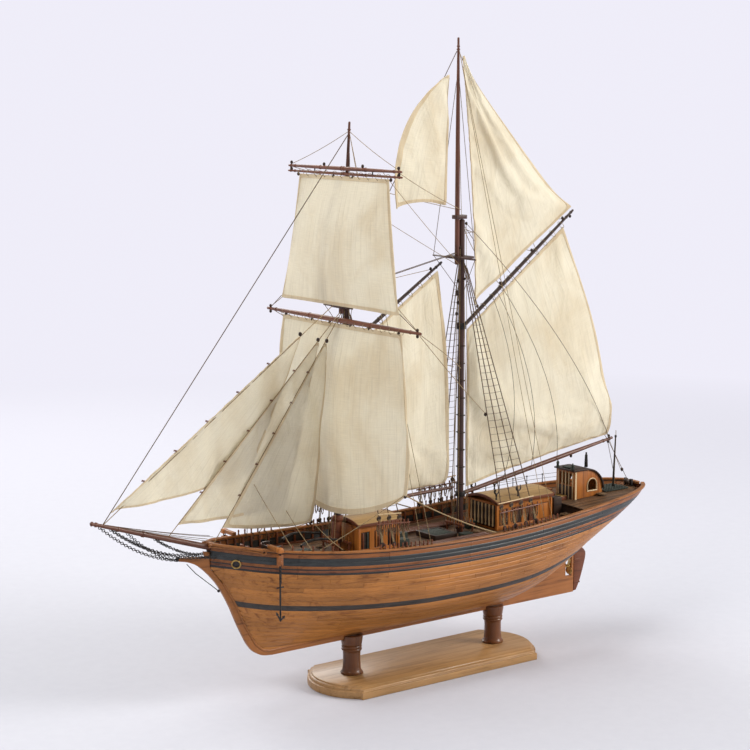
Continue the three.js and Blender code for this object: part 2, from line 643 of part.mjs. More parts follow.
function steeringWheel() {
  const { x, z, r } = WHEEL;
  const rim = ring([x - 0.8, 0, z], [x + 0.8, 0, z], r - 3.2, r - 1.8, 16);
  const hubProfile = [[0, 0], [1.6, 0], [1.6, 3.2], [1, 3.6], [1, 6], [0, 6]];
  const hub = turned([x - 2, 0, z], [x + 4, 0, z], hubProfile, 12);
  const spokes = [0, 1, 2, 3, 4, 5].map((k) => {
    const a = (k * Math.PI) / 3;
    return rod([x, 0, z], [x, r * Math.cos(a), z + r * Math.sin(a)], 0.5, 4);
  });
  return fuse(rim, hub, ...spokes);
}
add('steering_wheel', steeringWheel(), BRASS());

function binnacle() {
  const { x, z } = WHEEL;
  const post = box(x + 4.6, x + 8.6, -3.5, 3.5, 180, z + 5);
  return post.subtract(underQuarterDeck);
}
add('wheel_pedestal', binnacle(), MAHOGANY());

const PIPE_X = 278;
const pipeBase = CABIN.arcZ + Math.sqrt((CABIN.r + 2.4) ** 2 - (PIPE_X - 2.6 - CABIN.arcX) ** 2) + GAP;
add('stovepipe', turned([PIPE_X, 0, pipeBase], [PIPE_X, 0, 260],
  [[0, 0], [2.4, 0], [2.3, 8], [1.9, 14], [1.9, 17], [1.2, 17.4], [1.1, 20.5], [0, 20.5]], 14), IRON());

add('companion', onMainDeck(box(199, 213, -24, -6, 160, 203)), ORANGE_WOOD());
add('skylight', box(222, 236, -9, 9, 183, 198).subtract(underQuarterDeck), MAHOGANY());

function cargoHatch() {
  const block = onMainDeck(box(2, 38, -20, 20, 155, 178));
  const recess = box(5, 35, -17, 17, 176, 180);
  return block.subtract(recess);
}
add('cargo_hatch', cargoHatch(), DARK_WOOD());

// ---------------------------------------------------------------- foredeck gear
const WINDLASS_X = -232;
const windlassZ = deckZ(WINDLASS_X) + 12;
function windlassFrame() {
  const foot = deckZ(WINDLASS_X) - 10;
  const cheek = (y) => box(WINDLASS_X - 5, WINDLASS_X + 5, y - 1.6, y + 1.6, foot, windlassZ + 6);
  const beam = box(WINDLASS_X - 6.5, WINDLASS_X - 4, -15, 15, windlassZ - 5, windlassZ + 3.5);
  const bore = rod([WINDLASS_X, -30, windlassZ], [WINDLASS_X, 30, windlassZ], 1.8, 16);
  return onMainDeck(fuse(cheek(-15), cheek(15), beam)).subtract(bore);
}
add('windlass_frame', windlassFrame(), DARK_WOOD());
add('windlass_barrel', turned([WINDLASS_X, -24, windlassZ], [WINDLASS_X, 24, windlassZ],
  [[0, 0], [3.2, 0], [2.6, 3], [3.2, 6.6], [1.5, 6.9], [1.5, 11], [3.3, 11.4], [3.3, 36.6],
    [1.5, 37], [1.5, 41.1], [3.2, 41.4], [2.6, 45], [3.2, 48], [0, 48]], 12), MAHOGANY());

const CATHEAD = { x: -262, inner: 38, tip: 64 };
function cathead(side) {
  const { x, inner, tip } = CATHEAD;
  const z = railZ(x - 2.4) + 2 * GAP;
  const ends = [side * inner, side * tip];
  return box(x - 2.4, x + 2.4, Math.min(...ends), Math.max(...ends), z, z + 4.2);
}
function anchor(side) {
  const x = CATHEAD.x;
  const y = side * (CATHEAD.tip - 2.5);
  const top = railZ(x) - 2;
  const crown = 121;
  const shank = rod([x, y, crown], [x, y, top], 1.1, 6);
  const stock = rod([x - 5, y, 162], [x + 5, y, 162], 0.9, 6);
  const arm = (dy) => rod([x, y, crown + 1], [x, y + dy, crown + 8], 1, 6);
  const flukeProfile = [[0, 0], [2, 0.6], [0, 5]];
  const fluke = (dy) => {
    const root = [x, y + dy * 0.75, crown + 6];
    return turned(root, [x, y + dy * 1.3, crown + 10.5], flukeProfile, 5);
  };
  return fuse(shank, stock, arm(8), arm(-8), fluke(8), fluke(-8));
}
for (const [label, side] of [['port', -1], ['starboard', 1]]) {
  add(`cathead_${label}`, cathead(side), MAHOGANY());
  add(`anchor_${label}`, anchor(side), IRON());
}

// ---------------------------------------------------------------- stern gear
add('ensign_staff', turned([329, 0, quarterZ(329) + DECK_CAMBER + GAP], [332.5, 0, 277],
  [[0, 0], [1.5, 0], [1.3, 40], [1, 70], [1.6, 71], [1.6, 73], [0, 74]], 10), IRON());
add('stern_reel', turned([358, -5, quarterZ(358) + 7.4], [358, 5, quarterZ(358) + 7.4],
  [[0, 0], [4.6, 0], [4.6, 1.2], [3.4, 1.6], [3.4, 8.4], [4.6, 8.8], [4.6, 10], [0, 10]], 16), DARK_WOOD());

// ---------------------------------------------------------------- standing rigging
// Shrouds fan from the masthead to the rail, where a sheer pole joins their feet.
function shroudGang(at, mast, side, feet, z0, railY) {
  const head = at(mast.top - 3);
  const y = side * (mastRadius(mast, mast.top) + 1.3);
  const tops = feet.map((_, k) => [head[0] - 1.5 + 2 * k, y, head[2] - 3 * k]);
  const ends = feet.map((x) => [x, side * railY(x), z0(x)]);
  const ropes = tops.map((top, k) => rod(top, ends[k], 0.55, 5));
  const eye = rod(tops[0], tops[tops.length - 1], 0.9, 5);
  const pole = (k) => rod(ends[k], ends[k + 1], 0.9, 5);
  return fuse(eye, ...ropes, ...feet.slice(1).map((_, k) => pole(k)));
}
const MAIN_FEET = [60, 78, 96, 114];
const FORE_FEET = [-124, -108, -92];
const footY = (x) => railHalf(x) - 6.2;
const footZ = (x) => railZ(x) + 2.5;
for (const [label, side] of [['port', -1], ['starboard', 1]]) {
  add(`main_shrouds_${label}`, shroudGang(mainAt, MAIN, side, MAIN_FEET, footZ, footY), CORD());
  add(`fore_shrouds_${label}`, shroudGang(foreAt, FORE, side, FORE_FEET, footZ, footY), CORD());
}
add('fore_topmast_stay', rod([-461, 0, 257.8], [-131.5, 0, 688], 0.5, 6), CORD());

export default ship;
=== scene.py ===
"""Looks for a wooden display model of a two-masted topsail schooner on its stand.

Lengths in this script are millimetres and become metres when a mesh is made.
The bow points towards -X, the port side towards -Y, and the stand rests on Z = 0.
"""
import json
import math
import random

import bmesh
import bpy
import numpy as np
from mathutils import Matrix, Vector


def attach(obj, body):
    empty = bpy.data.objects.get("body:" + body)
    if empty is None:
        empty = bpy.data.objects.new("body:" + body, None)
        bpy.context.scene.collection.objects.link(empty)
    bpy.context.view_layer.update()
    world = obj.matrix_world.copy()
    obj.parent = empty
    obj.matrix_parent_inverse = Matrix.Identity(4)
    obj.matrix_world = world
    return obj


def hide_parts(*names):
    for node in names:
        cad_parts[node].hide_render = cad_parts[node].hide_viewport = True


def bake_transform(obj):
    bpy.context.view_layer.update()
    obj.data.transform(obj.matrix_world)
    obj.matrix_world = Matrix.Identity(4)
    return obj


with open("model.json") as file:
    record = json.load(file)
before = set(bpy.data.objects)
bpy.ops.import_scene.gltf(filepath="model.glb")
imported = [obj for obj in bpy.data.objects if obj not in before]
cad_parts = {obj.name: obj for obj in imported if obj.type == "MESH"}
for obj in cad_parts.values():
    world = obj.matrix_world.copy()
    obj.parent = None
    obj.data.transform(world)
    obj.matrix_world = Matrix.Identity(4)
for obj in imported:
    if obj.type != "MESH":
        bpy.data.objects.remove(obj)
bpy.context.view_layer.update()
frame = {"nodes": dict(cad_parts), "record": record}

MM = 0.001
SIDES = ((-1, "port"), (1, "starboard"))
random.seed(7)

# ---------------------------------------------------------------- camera and stage
CAMERA_PLACE = (-1457, -1873, 747)
CAMERA_TURN = 36.35              # degrees from +Y towards +X
CAMERA_DIP = 8.72                # degrees below level
CAMERA_LENS = 91.2
STUDIO_WHITE = (0.865, 0.85, 0.945)


def make_camera():
    camera = bpy.data.objects.new("camera", bpy.data.cameras.new("camera"))
    camera.data.lens = CAMERA_LENS
    camera.data.sensor_width = 36
    camera.data.clip_end = 60
    camera.location = Vector(CAMERA_PLACE) * MM
    camera.rotation_euler = (math.radians(90 - CAMERA_DIP), 0, math.radians(-CAMERA_TURN))
    bpy.context.scene.collection.objects.link(camera)
    bpy.context.scene.camera = camera


make_camera()

# ---------------------------------------------------------------- dimensions shared with the CAD model
PLANK = {"half": 141, "width": 60, "thick": 15, "bulge": 27, "shoulder": 5}
COLUMN_X = 115
KEEL_Z, KEEL_HALF, PLANKING_Z = 61, 3, 67
BOW_X, STERN_X, BEAM = -322, 370, 91
BULWARK, QUARTER_X, QUARTER_DROP, CAMBER = 20, 217, 8, 2
MAIN_X, FORE_X, FORE_Z, FORE_RAKE, DOUBLING = 58, -137, 205, 0.056, 7.6
MAIN = {"foot": 76, "cap": 578, "top": 528, "truck": 804, "r0": 4.5, "r1": 3.7}
FORE = {"foot": 84, "cap": 512, "top": 478, "truck": 702, "r0": 4.9, "r1": 3.9}
FORE_YARD = {"z": 462.5, "half": 161, "r": 3.1, "tip": 1.7}
TOP_YARD = {"z": 646, "half": 117, "r": 2.4, "tip": 1.4}
HEAD_SPAR = {"z": 639.6, "half": 118, "r": 1.7, "tip": 1.2}
BOWSPRIT = ((-296, 0, 199.1), (-477, 0, 257))


def between(a, b, t):
    return a + (b - a) * t


def ease(t):
    t = min(1, max(0, t))
    return t * t * (3 - 2 * t)


def tone_within(spread):
    """A lighter or darker tone for one board or fitting."""
    return random.uniform(-spread, spread)


def full_turn(count):
    """Angles evenly round a circle."""
    return [2 * math.pi * k / count for k in range(count)]


def along(a, b, t):
    return tuple(between(p, q, t) for p, q in zip(a, b))


def crosswise(x, y0, y1, z0, z1):
    """A rectangle across the ship at x."""
    return [(x, y0, z0), (x, y1, z0), (x, y1, z1), (x, y0, z1)]


def table_at(table, x):
    if x <= table[0][0]:
        return table[0][1:]
    for low, high in zip(table, table[1:]):
        if x <= high[0]:
            t = (x - low[0]) / (high[0] - low[0])
            return tuple(between(p, q, t) for p, q in zip(low[1:], high[1:]))
    return table[-1][1:]


def rail_z(x):
    if x < 20:
        return 188.8 + 26 * ((20 - x) / 349) ** 2.5
    return 188.8 + 6.5 * (1 - math.cos(math.pi * min(1, (x - 20) / 310)))


def rail_half(x):
    u = min(0.995, (40 - x) / 366 if x < 40 else (x - 40) / 336)
    return BEAM * (1 - u ** 2.4) ** 0.72 if x < 40 else BEAM * (1 - u ** 2.6) ** 0.55


def by_rail(x, side, inward, lift=0.0):
    """A place inside the rail's edge and above its top."""
    return (x, side * (rail_half(x) - inward), rail_z(x) + lift)


STEM_INSIDE = [(-326, 187), (-305, 162), (-289, 135), (-275, 104), (-260, 78), (-250, 69.5),
               (-240, PLANKING_Z)]
SECTION = [(-322, 1.3, 1.1), (-243, 1.9, 1.15), (-150, 2.8, 0.95), (-50, 3.3, 0.75),
           (60, 3.2, 0.75), (160, 2.9, 0.95), (236, 2.6, 1.3), (370, 2.2, 1.0)]


def bottom_z(x):
    if x < -240:
        return table_at(STEM_INSIDE, x)[0]
    if x < 100:
        return PLANKING_Z
    if x < 236:
        return PLANKING_Z + 0.00227 * (x - 100) ** 2
    return 109 + 0.617 * (x - 236)


def half_breadth(x, z):
    low = bottom_z(x)
    t = min(1, max(0, (z - low) / (rail_z(x) - low)))
    p, q = table_at(SECTION, x)
    return KEEL_HALF + max(0.4, rail_half(x) - KEEL_HALF) * (1 - (1 - t) ** p) ** q


def deck_z(x, y=0):
    drop = QUARTER_DROP if x > QUARTER_X else BULWARK
    floor = rail_z(x) - drop
    inside = max(4, half_breadth(x, floor - 2.2) - 1.6)
    return floor + CAMBER * (1 - min(1, abs(y) / inside) ** 2)


def fore_at(z, y=0):
    return (FORE_X + (z - FORE_Z) * FORE_RAKE, y, z)


def fore_top_at(z, y=0):
    return (fore_at(z)[0] - DOUBLING, y, z)


def main_at(z, y=0):
    return (MAIN_X, y, z)


def main_top_at(z, y=0):
    return (MAIN_X - DOUBLING, y, z)


def mast_radius(mast, z):
    return between(mast["r0"], mast["r1"], (z - mast["foot"]) / (mast["cap"] - mast["foot"]))


FORE_YARD_X = fore_at(FORE_YARD["z"])[0] - mast_radius(FORE, FORE_YARD["z"]) - FORE_YARD["r"] - 1.6
TOP_YARD_X = fore_top_at(TOP_YARD["z"])[0] - 2.4 - TOP_YARD["r"] - 1.6
BOOM_Z, GAFF_Z, FORE_BOOM_Z, FORE_GAFF_Z = 222.5, 440, 228, 427
SWINGING = {"main_boom": ((MAIN_X, BOOM_Z), (326, 267)),
            "main_gaff": ((MAIN_X, GAFF_Z), (247, 582)),
            "fore_boom": ((fore_at(FORE_BOOM_Z)[0], FORE_BOOM_Z), (47, 233)),
            "fore_gaff": ((fore_at(FORE_GAFF_Z)[0], FORE_GAFF_Z), (26, 525))}


def on_spar(node, share):
    """The x and z of a place along a boom or gaff, counted from its jaws."""
    (x0, z0), (x1, z1) = SWINGING[node]
    return between(x0, x1, share), between(z0, z1, share)


# ---------------------------------------------------------------- materials
OBJECT_SPACE = "Object"


class Shader:
    """A small builder for one material's nodes."""

    def __init__(self, name):
        self.material = bpy.data.materials.new(name)
        self.material.use_nodes = True
        self.tree = self.material.node_tree
        self.surface = self.tree.nodes["Principled BSDF"]
        self.output = self.tree.nodes["Material Output"]

    def link(self, output, target):
        self.tree.links.new(output, target)

    def fill(self, socket, value):
        """Links a socket to another node's output, or sets its constant."""
        if isinstance(value, bpy.types.NodeSocket):
            self.link(value, socket)
        elif socket.type == "RGBA" and len(value) == 3:
            socket.default_value = (*value, 1)
        else:
            socket.default_value = value

    def node(self, kind, values=None, **settings):
        made = self.tree.nodes.new("ShaderNode" + kind)
        for key, value in settings.items():
            setattr(made, key, value)
        for key, value in (values or {}).items():
            self.fill(made.inputs[key], value)
        return made

    def place(self, scale):
        coordinates = self.node("TexCoord").outputs[OBJECT_SPACE]
        return self.node("Mapping", {"Vector": coordinates, "Scale": scale}).outputs["Vector"]

    def noise(self, scale, detail=4, rough=0.6, distortion=0.0):
        values = {"Vector": self.place(scale), "Scale": 1, "Detail": detail,
                  "Roughness": rough, "Distortion": distortion}
        return self.node("TexNoise", values).outputs["Fac"]

    def ramp(self, factor, stops):
        made = self.node("ValToRGB", {"Fac": factor})
        elements = made.color_ramp.elements
        while len(elements) < len(stops):
            elements.new(0.5)
        for element, (place, colour) in zip(elements, stops):
            element.position = place
            element.color = (*colour, 1) if len(colour) == 3 else colour
        return made.outputs["Color"]

    def value(self, factor, low, high, start=0.3, end=0.7):
        values = {"Value": factor, "From Min": start, "From Max": end, "To Min": low, "To Max": high}
        return self.node("MapRange", values).outputs["Result"]

    def math(self, operation, a, b=0.0):
        return self.node("Math", {0: a, 1: b}, operation=operation).outputs[0]

    def shade(self, colour, value):
        return self.node("HueSaturation", {"Color": colour, "Value": value}).outputs["Color"]

    def mix(self, factor, a, b):
        made = self.node("Mix", data_type="RGBA", blend_type="MIX")
        for index, value in ((0, factor), (6, a), (7, b)):
            self.fill(made.inputs[index], value)
        return made.outputs[2]

    def finish(self, colour, roughness, height, bump=0.3, depth=0.0004, **values):
        bumped = self.node("Bump", {"Height": height, "Strength": bump, "Distance": depth})
        self.link(bumped.outputs["Normal"], self.surface.inputs["Normal"])
        for key, value in {"Base_Color": colour, "Roughness": roughness, **values}.items():
            self.fill(self.surface.inputs[key.replace("_", " ")], value)
        return self.material


GRAIN_SCALES = {"x": (9, 150, 150), "y": (150, 9, 150), "z": (150, 150, 9)}


def wood(name, light, dark, grain="x", roughness=0.42, spread=0.3, coat=0.15, pores=0.25):
    """Long grain with darker growth lines, fine pores and a tone that differs from board to board."""
    shader = Shader(name)
    scale = GRAIN_SCALES[grain]
    figure = shader.noise(scale, 6, 0.62, 0.9)
    bright = tuple(min(1, c * 1.16) for c in light)
    colour = shader.ramp(figure, [(0.28, dark), (0.47, light), (0.72, bright)])
    fine = shader.noise(tuple(s * 7 for s in scale), 3, 0.7)
    colour = shader.mix(shader.value(fine, 0, pores, 0.35, 0.75), colour, dark)
    cloud = shader.noise((14, 14, 14), 3)
    tone = shader.node("Attribute", attribute_name="tone").outputs["Fac"]
    value = shader.math("ADD", shader.value(cloud, 0.86, 1.1), shader.math("MULTIPLY", tone, spread))
    colour = shader.shade(colour, value)
    rough = shader.value(figure, roughness + 0.12, roughness - 0.04)
    shader.finish(colour, rough, fine, 0.22, 0.0003, Specular_IOR_Level=0.28, Coat_Weight=coat * 0.5,
                  Coat_Roughness=0.2)
    return shader.material


def cloth(name, light, dark, passes_light):
    """Plain woven cotton: fine threads both ways, slubs along the cloths and water stains."""
    shader = Shader(name)
    cut = shader.node("UVMap", uv_map="cut").outputs["UV"]

    def threads(scale, detail, rough=0.6):
        placed = shader.node("Mapping", {"Vector": cut, "Scale": scale}).outputs["Vector"]
        return shader.node("TexNoise", {"Vector": placed, "Scale": 1, "Detail": detail,
                                        "Roughness": rough}).outputs["Fac"]

    warp = threads((1500, 40, 1), 2)
    weft = threads((40, 1500, 1), 2)
    slub = threads((420, 9, 1), 3)
    weave = shader.math("ADD", shader.math("MULTIPLY", warp, 0.5), shader.math("MULTIPLY", weft, 0.5))
    stain = shader.noise((16, 16, 11), 4, 0.55, 0.4)
    colour = shader.ramp(stain, [(0.30, dark), (0.55, light)])
    colour = shader.mix(shader.value(slub, 0.0, 0.30, 0.52, 0.70), colour, tuple(c * 0.72 for c in dark))
    colour = shader.shade(colour, shader.value(weave, 0.90, 1.08))
    shader.finish(colour, 0.92, weave, 0.35, 0.0003, Sheen_Weight=0.15, Sheen_Roughness=0.5)
    crease = shader.noise((38, 38, 20), 3, 0.55, 1.4)
    crumple = shader.node("Bump", {"Height": crease, "Strength": 0.55, "Distance": 0.0045})
    for bump in [n for n in shader.tree.nodes if n.type == "BUMP" and n != crumple]:
        shader.link(crumple.outputs["Normal"], bump.inputs["Normal"])
    through = shader.node("BsdfTranslucent", {"Color": colour})
    shader.link(crumple.outputs["Normal"], through.inputs["Normal"])
    blend = shader.node("MixShader", {"Fac": passes_light})
    shader.link(shader.surface.outputs[0], blend.inputs[1])
    shader.link(through.outputs[0], blend.inputs[2])
    shader.link(blend.outputs[0], shader.output.inputs["Surface"])
    return shader.material


def metal(name, light, dark, roughness, metallic=1.0):
    """Metal with a mottled tarnish."""
    shader = Shader(name)
    patches = shader.noise((180, 180, 180), 4)
    colour = shader.ramp(patches, [(0.35, dark), (0.62, light)])
    rough = shader.value(patches, roughness + 0.2, roughness)
    shader.finish(colour, rough, patches, 0.2, 0.0002, Metallic=metallic)
    return shader.material


def cord_material(name, light, dark):
    """Laid cord: short slanting strands and a fuzzy, dull surface."""
    shader = Shader(name)
    strands = shader.noise((900, 900, 900), 2)
    colour = shader.ramp(strands, [(0.35, dark), (0.65, light)])
    shader.finish(colour, 0.9, strands, 0.5, 0.0002)
    return shader.material


def paint(name, light, dark, roughness=0.5):
    """Thin paint on wood, with the grain showing and rubbed patches."""
    shader = Shader(name)
    grain = shader.noise((16, 220, 220), 5, 0.6, 0.4)
    colour = shader.ramp(grain, [(0.3, dark), (0.6, light)])
    tone = shader.node("Attribute", attribute_name="tone").outputs["Fac"]
    colour = shader.shade(colour, shader.math("ADD", 1.0, shader.math("MULTIPLY", tone, 0.4)))
    shader.finish(colour, shader.value(grain, roughness + 0.1, roughness - 0.05), grain, 0.2, 0.0003)
    return shader.material


HONEY = wood("honey_oak", (0.42, 0.165, 0.036), (0.17, 0.052, 0.009), coat=0.4)
HONEY_KEEL = wood("honey_keel", (0.33, 0.12, 0.028), (0.13, 0.040, 0.009), coat=0.4)
PLINTH_WOOD = wood("plinth_wood", (0.40, 0.225, 0.092), (0.21, 0.105, 0.036), roughness=0.34, coat=0.3)
COLUMN_WOOD = wood("column_wood", (0.145, 0.048, 0.012), (0.04, 0.012, 0.004), grain="z", coat=0.8)
RAIL_WOOD = wood("rail_wood", (0.30, 0.112, 0.028), (0.10, 0.031, 0.009), coat=0.3)
RED_WOOD = wood("red_wood", (0.16, 0.050, 0.022), (0.05, 0.016, 0.009))
SPAR_ACROSS = wood("spar_across", (0.17, 0.060, 0.033), (0.05, 0.016, 0.010), grain="y", coat=0.5)
SPAR_LONG = wood("spar_long", (0.13, 0.046, 0.024), (0.04, 0.013, 0.008), coat=0.5)
# Topmasts and trucks: the same dark maroon-brown wood as the lower masts, drawn about twice as light as a
# painted highlight.
SPAR_UP_PAINTED_HIGHLIGHT = wood("spar_up_painted_highlight", (0.12, 0.042, 0.024), (0.035, 0.012, 0.008), grain="z", coat=0.5)
MAST_DARK = wood("mast_dark", (0.058, 0.024, 0.018), (0.016, 0.007, 0.006), grain="z", coat=0.5)
GAFF_DARK = wood("gaff_dark", (0.040, 0.020, 0.016), (0.011, 0.007, 0.006), coat=0.4)
DECK_WOOD = wood("deck_wood", (0.125, 0.066, 0.032), (0.038, 0.019, 0.010), spread=0.7)
ROOF_WOOD = wood("roof_wood", (0.40, 0.255, 0.11), (0.21, 0.115, 0.045), spread=0.45)
CABIN_WOOD = wood("cabin_wood", (0.42, 0.142, 0.026), (0.15, 0.042, 0.009), grain="z", spread=0.6, coat=0.3)
DARK_WOOD = wood("dark_wood", (0.040, 0.021, 0.014), (0.012, 0.007, 0.005), spread=0.5)
PALE_WOOD = wood("pale_wood", (0.62, 0.46, 0.27), (0.40, 0.26, 0.13), grain="z")
SLATE = paint("slate_paint", (0.020, 0.024, 0.025), (0.007, 0.008, 0.008), 0.36)
BLACK_LINE = paint("black_paint", (0.013, 0.011, 0.010), (0.005, 0.004, 0.004), 0.4)
RED_STRIPE = wood("stripe_wood", (0.20, 0.068, 0.028), (0.07, 0.022, 0.010), coat=0.3)
BROWN_STRAKE = wood("strake_wood", (0.27, 0.092, 0.024), (0.09, 0.026, 0.008), coat=0.3)
BOOT_GREY = paint("boot_paint", (0.040, 0.030, 0.024), (0.014, 0.010, 0.008), 0.4)
GREEN_TARP = paint("green_paint", (0.026, 0.036, 0.026), (0.009, 0.013, 0.010), 0.75)
IRON = metal("black_iron", (0.045, 0.040, 0.038), (0.012, 0.010, 0.010), 0.42, 0.6)
BRASS = metal("worn_brass", (0.55, 0.36, 0.12), (0.20, 0.12, 0.045), 0.32)
SAILCLOTH = cloth("sailcloth", (0.89, 0.845, 0.715), (0.80, 0.725, 0.565), 0.42)
HEMCLOTH = cloth("hemcloth", (0.80, 0.68, 0.475), (0.68, 0.54, 0.34), 0.30)
TAN_CORD = cord_material("tan_cord", (0.40, 0.29, 0.15), (0.17, 0.11, 0.055))
BROWN_CORD = cord_material("brown_cord", (0.15, 0.095, 0.055), (0.06, 0.036, 0.022))
COIL_CORD = cord_material("coil_cord", (0.24, 0.145, 0.070), (0.085, 0.048, 0.024))


# ---------------------------------------------------------------- mesh building
SHARP = math.radians(40)


def ease_edges(work, bevel):
    """Rounds a mesh's sharp edges by bevel millimetres."""
    sharp = [e for e in work.edges if e.is_manifold and e.calc_face_angle() > SHARP]
    bmesh.ops.bevel(work, geom=sharp, offset=bevel * MM, segments=2, profile=0.5, affect="EDGES",
                    clamp_overlap=True)


class Shape:
    """Vertices in millimetres and faces, gathered into one mesh."""

    def __init__(self):
        self.points = []
        self.faces = []
        self.tones = []

    def loft(self, rings, tone=0.0, around=True, caps=True):
        base, size = len(self.points), len(rings[0])
        for ring in rings:
            self.points.extend(tuple(p) for p in ring)
        before = len(self.faces)
        for i in range(len(rings) - 1):
            for j in range(size if around else size - 1):
                a = base + i * size + j
                b = base + i * size + (j + 1) % size
                self.faces.append((a, b, b + size, a + size))
        if caps:
            last = base + (len(rings) - 1) * size
            self.faces.append(tuple(range(base + size - 1, base - 1, -1)))
            self.faces.append(tuple(range(last, last + size)))
        self.tones.extend([tone] * (len(self.faces) - before))
        return self

    def tube(self, points, radius, sides=6, tone=0.0):
        """A round rod along points; radius is one number, or one for each point."""
        places = [Vector(p) for p in points]
        radii = radius if hasattr(radius, "__len__") else [radius] * len(places)
        heading = (places[1] - places[0]).normalized()
        side = heading.orthogonal().normalized()
        rings = []
        for k, place in enumerate(places):
            ahead = places[min(k + 1, len(places) - 1)] - places[max(k - 1, 0)]
            turn = heading.rotation_difference(ahead.normalized())
            side = turn @ side
            heading = ahead.normalized()
            up = heading.cross(side)
            rings.append([place + radii[k] * (math.cos(a) * side + math.sin(a) * up)
                          for a in full_turn(sides)])
        return self.loft(rings, tone)

    def lathe(self, start, end, profile, sides=20, tone=0.0):
        """A turned piece: profile holds (radius, distance from start) pairs."""
        start = Vector(start)
        axis = (Vector(end) - start).normalized()
        places = [start + axis * t for _, t in profile]
        side = axis.orthogonal().normalized()
        up = axis.cross(side)
        rings = [[place + max(r, 0.02) * (math.cos(a) * side + math.sin(a) * up) for a in full_turn(sides)]
                 for place, (r, _) in zip(places, profile)]
        return self.loft(rings, tone)

    def post(self, foot, profile, sides=12, tone=0.0):
        """A turned piece that stands upright on its foot."""
        x, y, z = foot
        return self.lathe(foot, (x, y, z + 1), profile, sides, tone)

    def block(self, low, high, tone=0.0):
        y0, y1 = sorted((low[1], high[1]))
        rings = [[(low[0], y0, z), (high[0], y0, z), (high[0], y1, z), (low[0], y1, z)]
                 for z in (low[2], high[2])]
        return self.loft(rings, tone)

    def hoop(self, centre, axis, radius, wire, steps=16, sides=6, tone=0.0):
        """A closed ring of round wire about an axis."""
        centre, axis = Vector(centre), Vector(axis).normalized()
        side = axis.orthogonal().normalized()
        up = axis.cross(side)
        base = len(self.points)
        for a in full_turn(steps):
            out = math.cos(a) * side + math.sin(a) * up
            for b in full_turn(sides):
                place = centre + out * (radius + wire * math.cos(b)) + axis * wire * math.sin(b)
                self.points.append(tuple(place))
        for i in range(steps):
            for j in range(sides):
                a, b = base + i * sides + j, base + i * sides + (j + 1) % sides
                c = base + ((i + 1) % steps) * sides + (j + 1) % sides
                d = base + ((i + 1) % steps) * sides + j
                self.faces.append((a, b, c, d))
                self.tones.append(tone)
        return self

    def ball(self, centre, radius, tone=0.0, stretch=1.0):
        profile = [(radius * math.sin(a), radius * stretch * (1 - math.cos(a)))
                   for a in (math.pi * k / 8 for k in range(9))]
        x, y, z = centre
        return self.post((x, y, z - radius * stretch), profile, 12, tone)

    def mesh(self, name, bevel=0.0):
        mesh = bpy.data.meshes.new(name)
        mesh.from_pydata([tuple(c * MM for c in p) for p in self.points], [], self.faces)
        tone = mesh.attributes.new("tone", "FLOAT", "FACE")
        tone.data.foreach_set("value", self.tones)
        work = bmesh.new()
        work.from_mesh(mesh)
        bmesh.ops.recalc_face_normals(work, faces=work.faces)
        if bevel:
            ease_edges(work, bevel)
        work.to_mesh(mesh)
        work.free()
        return mesh


def smooth(mesh, angle=35):
    mesh.polygons.foreach_set("use_smooth", [True] * len(mesh.polygons))
    mesh.set_sharp_from_angle(angle=math.radians(angle))
    mesh.update()


def piece(name, shape, material, body="hull", stands_for=(), bevel=0.0, angle=35):
    """One finished object that rides on a body."""
    mesh = shape.mesh(name, bevel) if isinstance(shape, Shape) else shape
    mesh.materials.clear()
    mesh.materials.append(material)
    smooth(mesh, angle)
    made = bpy.data.objects.new(name, mesh)
    bpy.context.scene.collection.objects.link(made)
    if body:
        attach(made, body)
    for node in stands_for:
        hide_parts(node)
    return made


BODY_OF = {node: body for body, nodes in frame["record"]["behaviour"]["bodies"].items() for node in nodes}


def polish(node, material, bevel=0.3, angle=35):
    """The CAD piece again with eased edges and a smooth surface."""
    mesh = frame["nodes"][node].data.copy()
    work = bmesh.new()
    work.from_mesh(mesh)
    bmesh.ops.remove_doubles(work, verts=work.verts, dist=0.02 * MM)
    bmesh.ops.dissolve_limit(work, angle_limit=math.radians(1), verts=work.verts, edges=work.edges)
    ease_edges(work, bevel)
    bmesh.ops.triangulate(work, faces=[f for f in work.faces if len(f.verts) > 4])
    bmesh.ops.recalc_face_normals(work, faces=work.faces)
    work.to_mesh(mesh)
    work.free()
    return piece(node + "_finished", mesh, material, BODY_OF[node], [node], angle=angle)


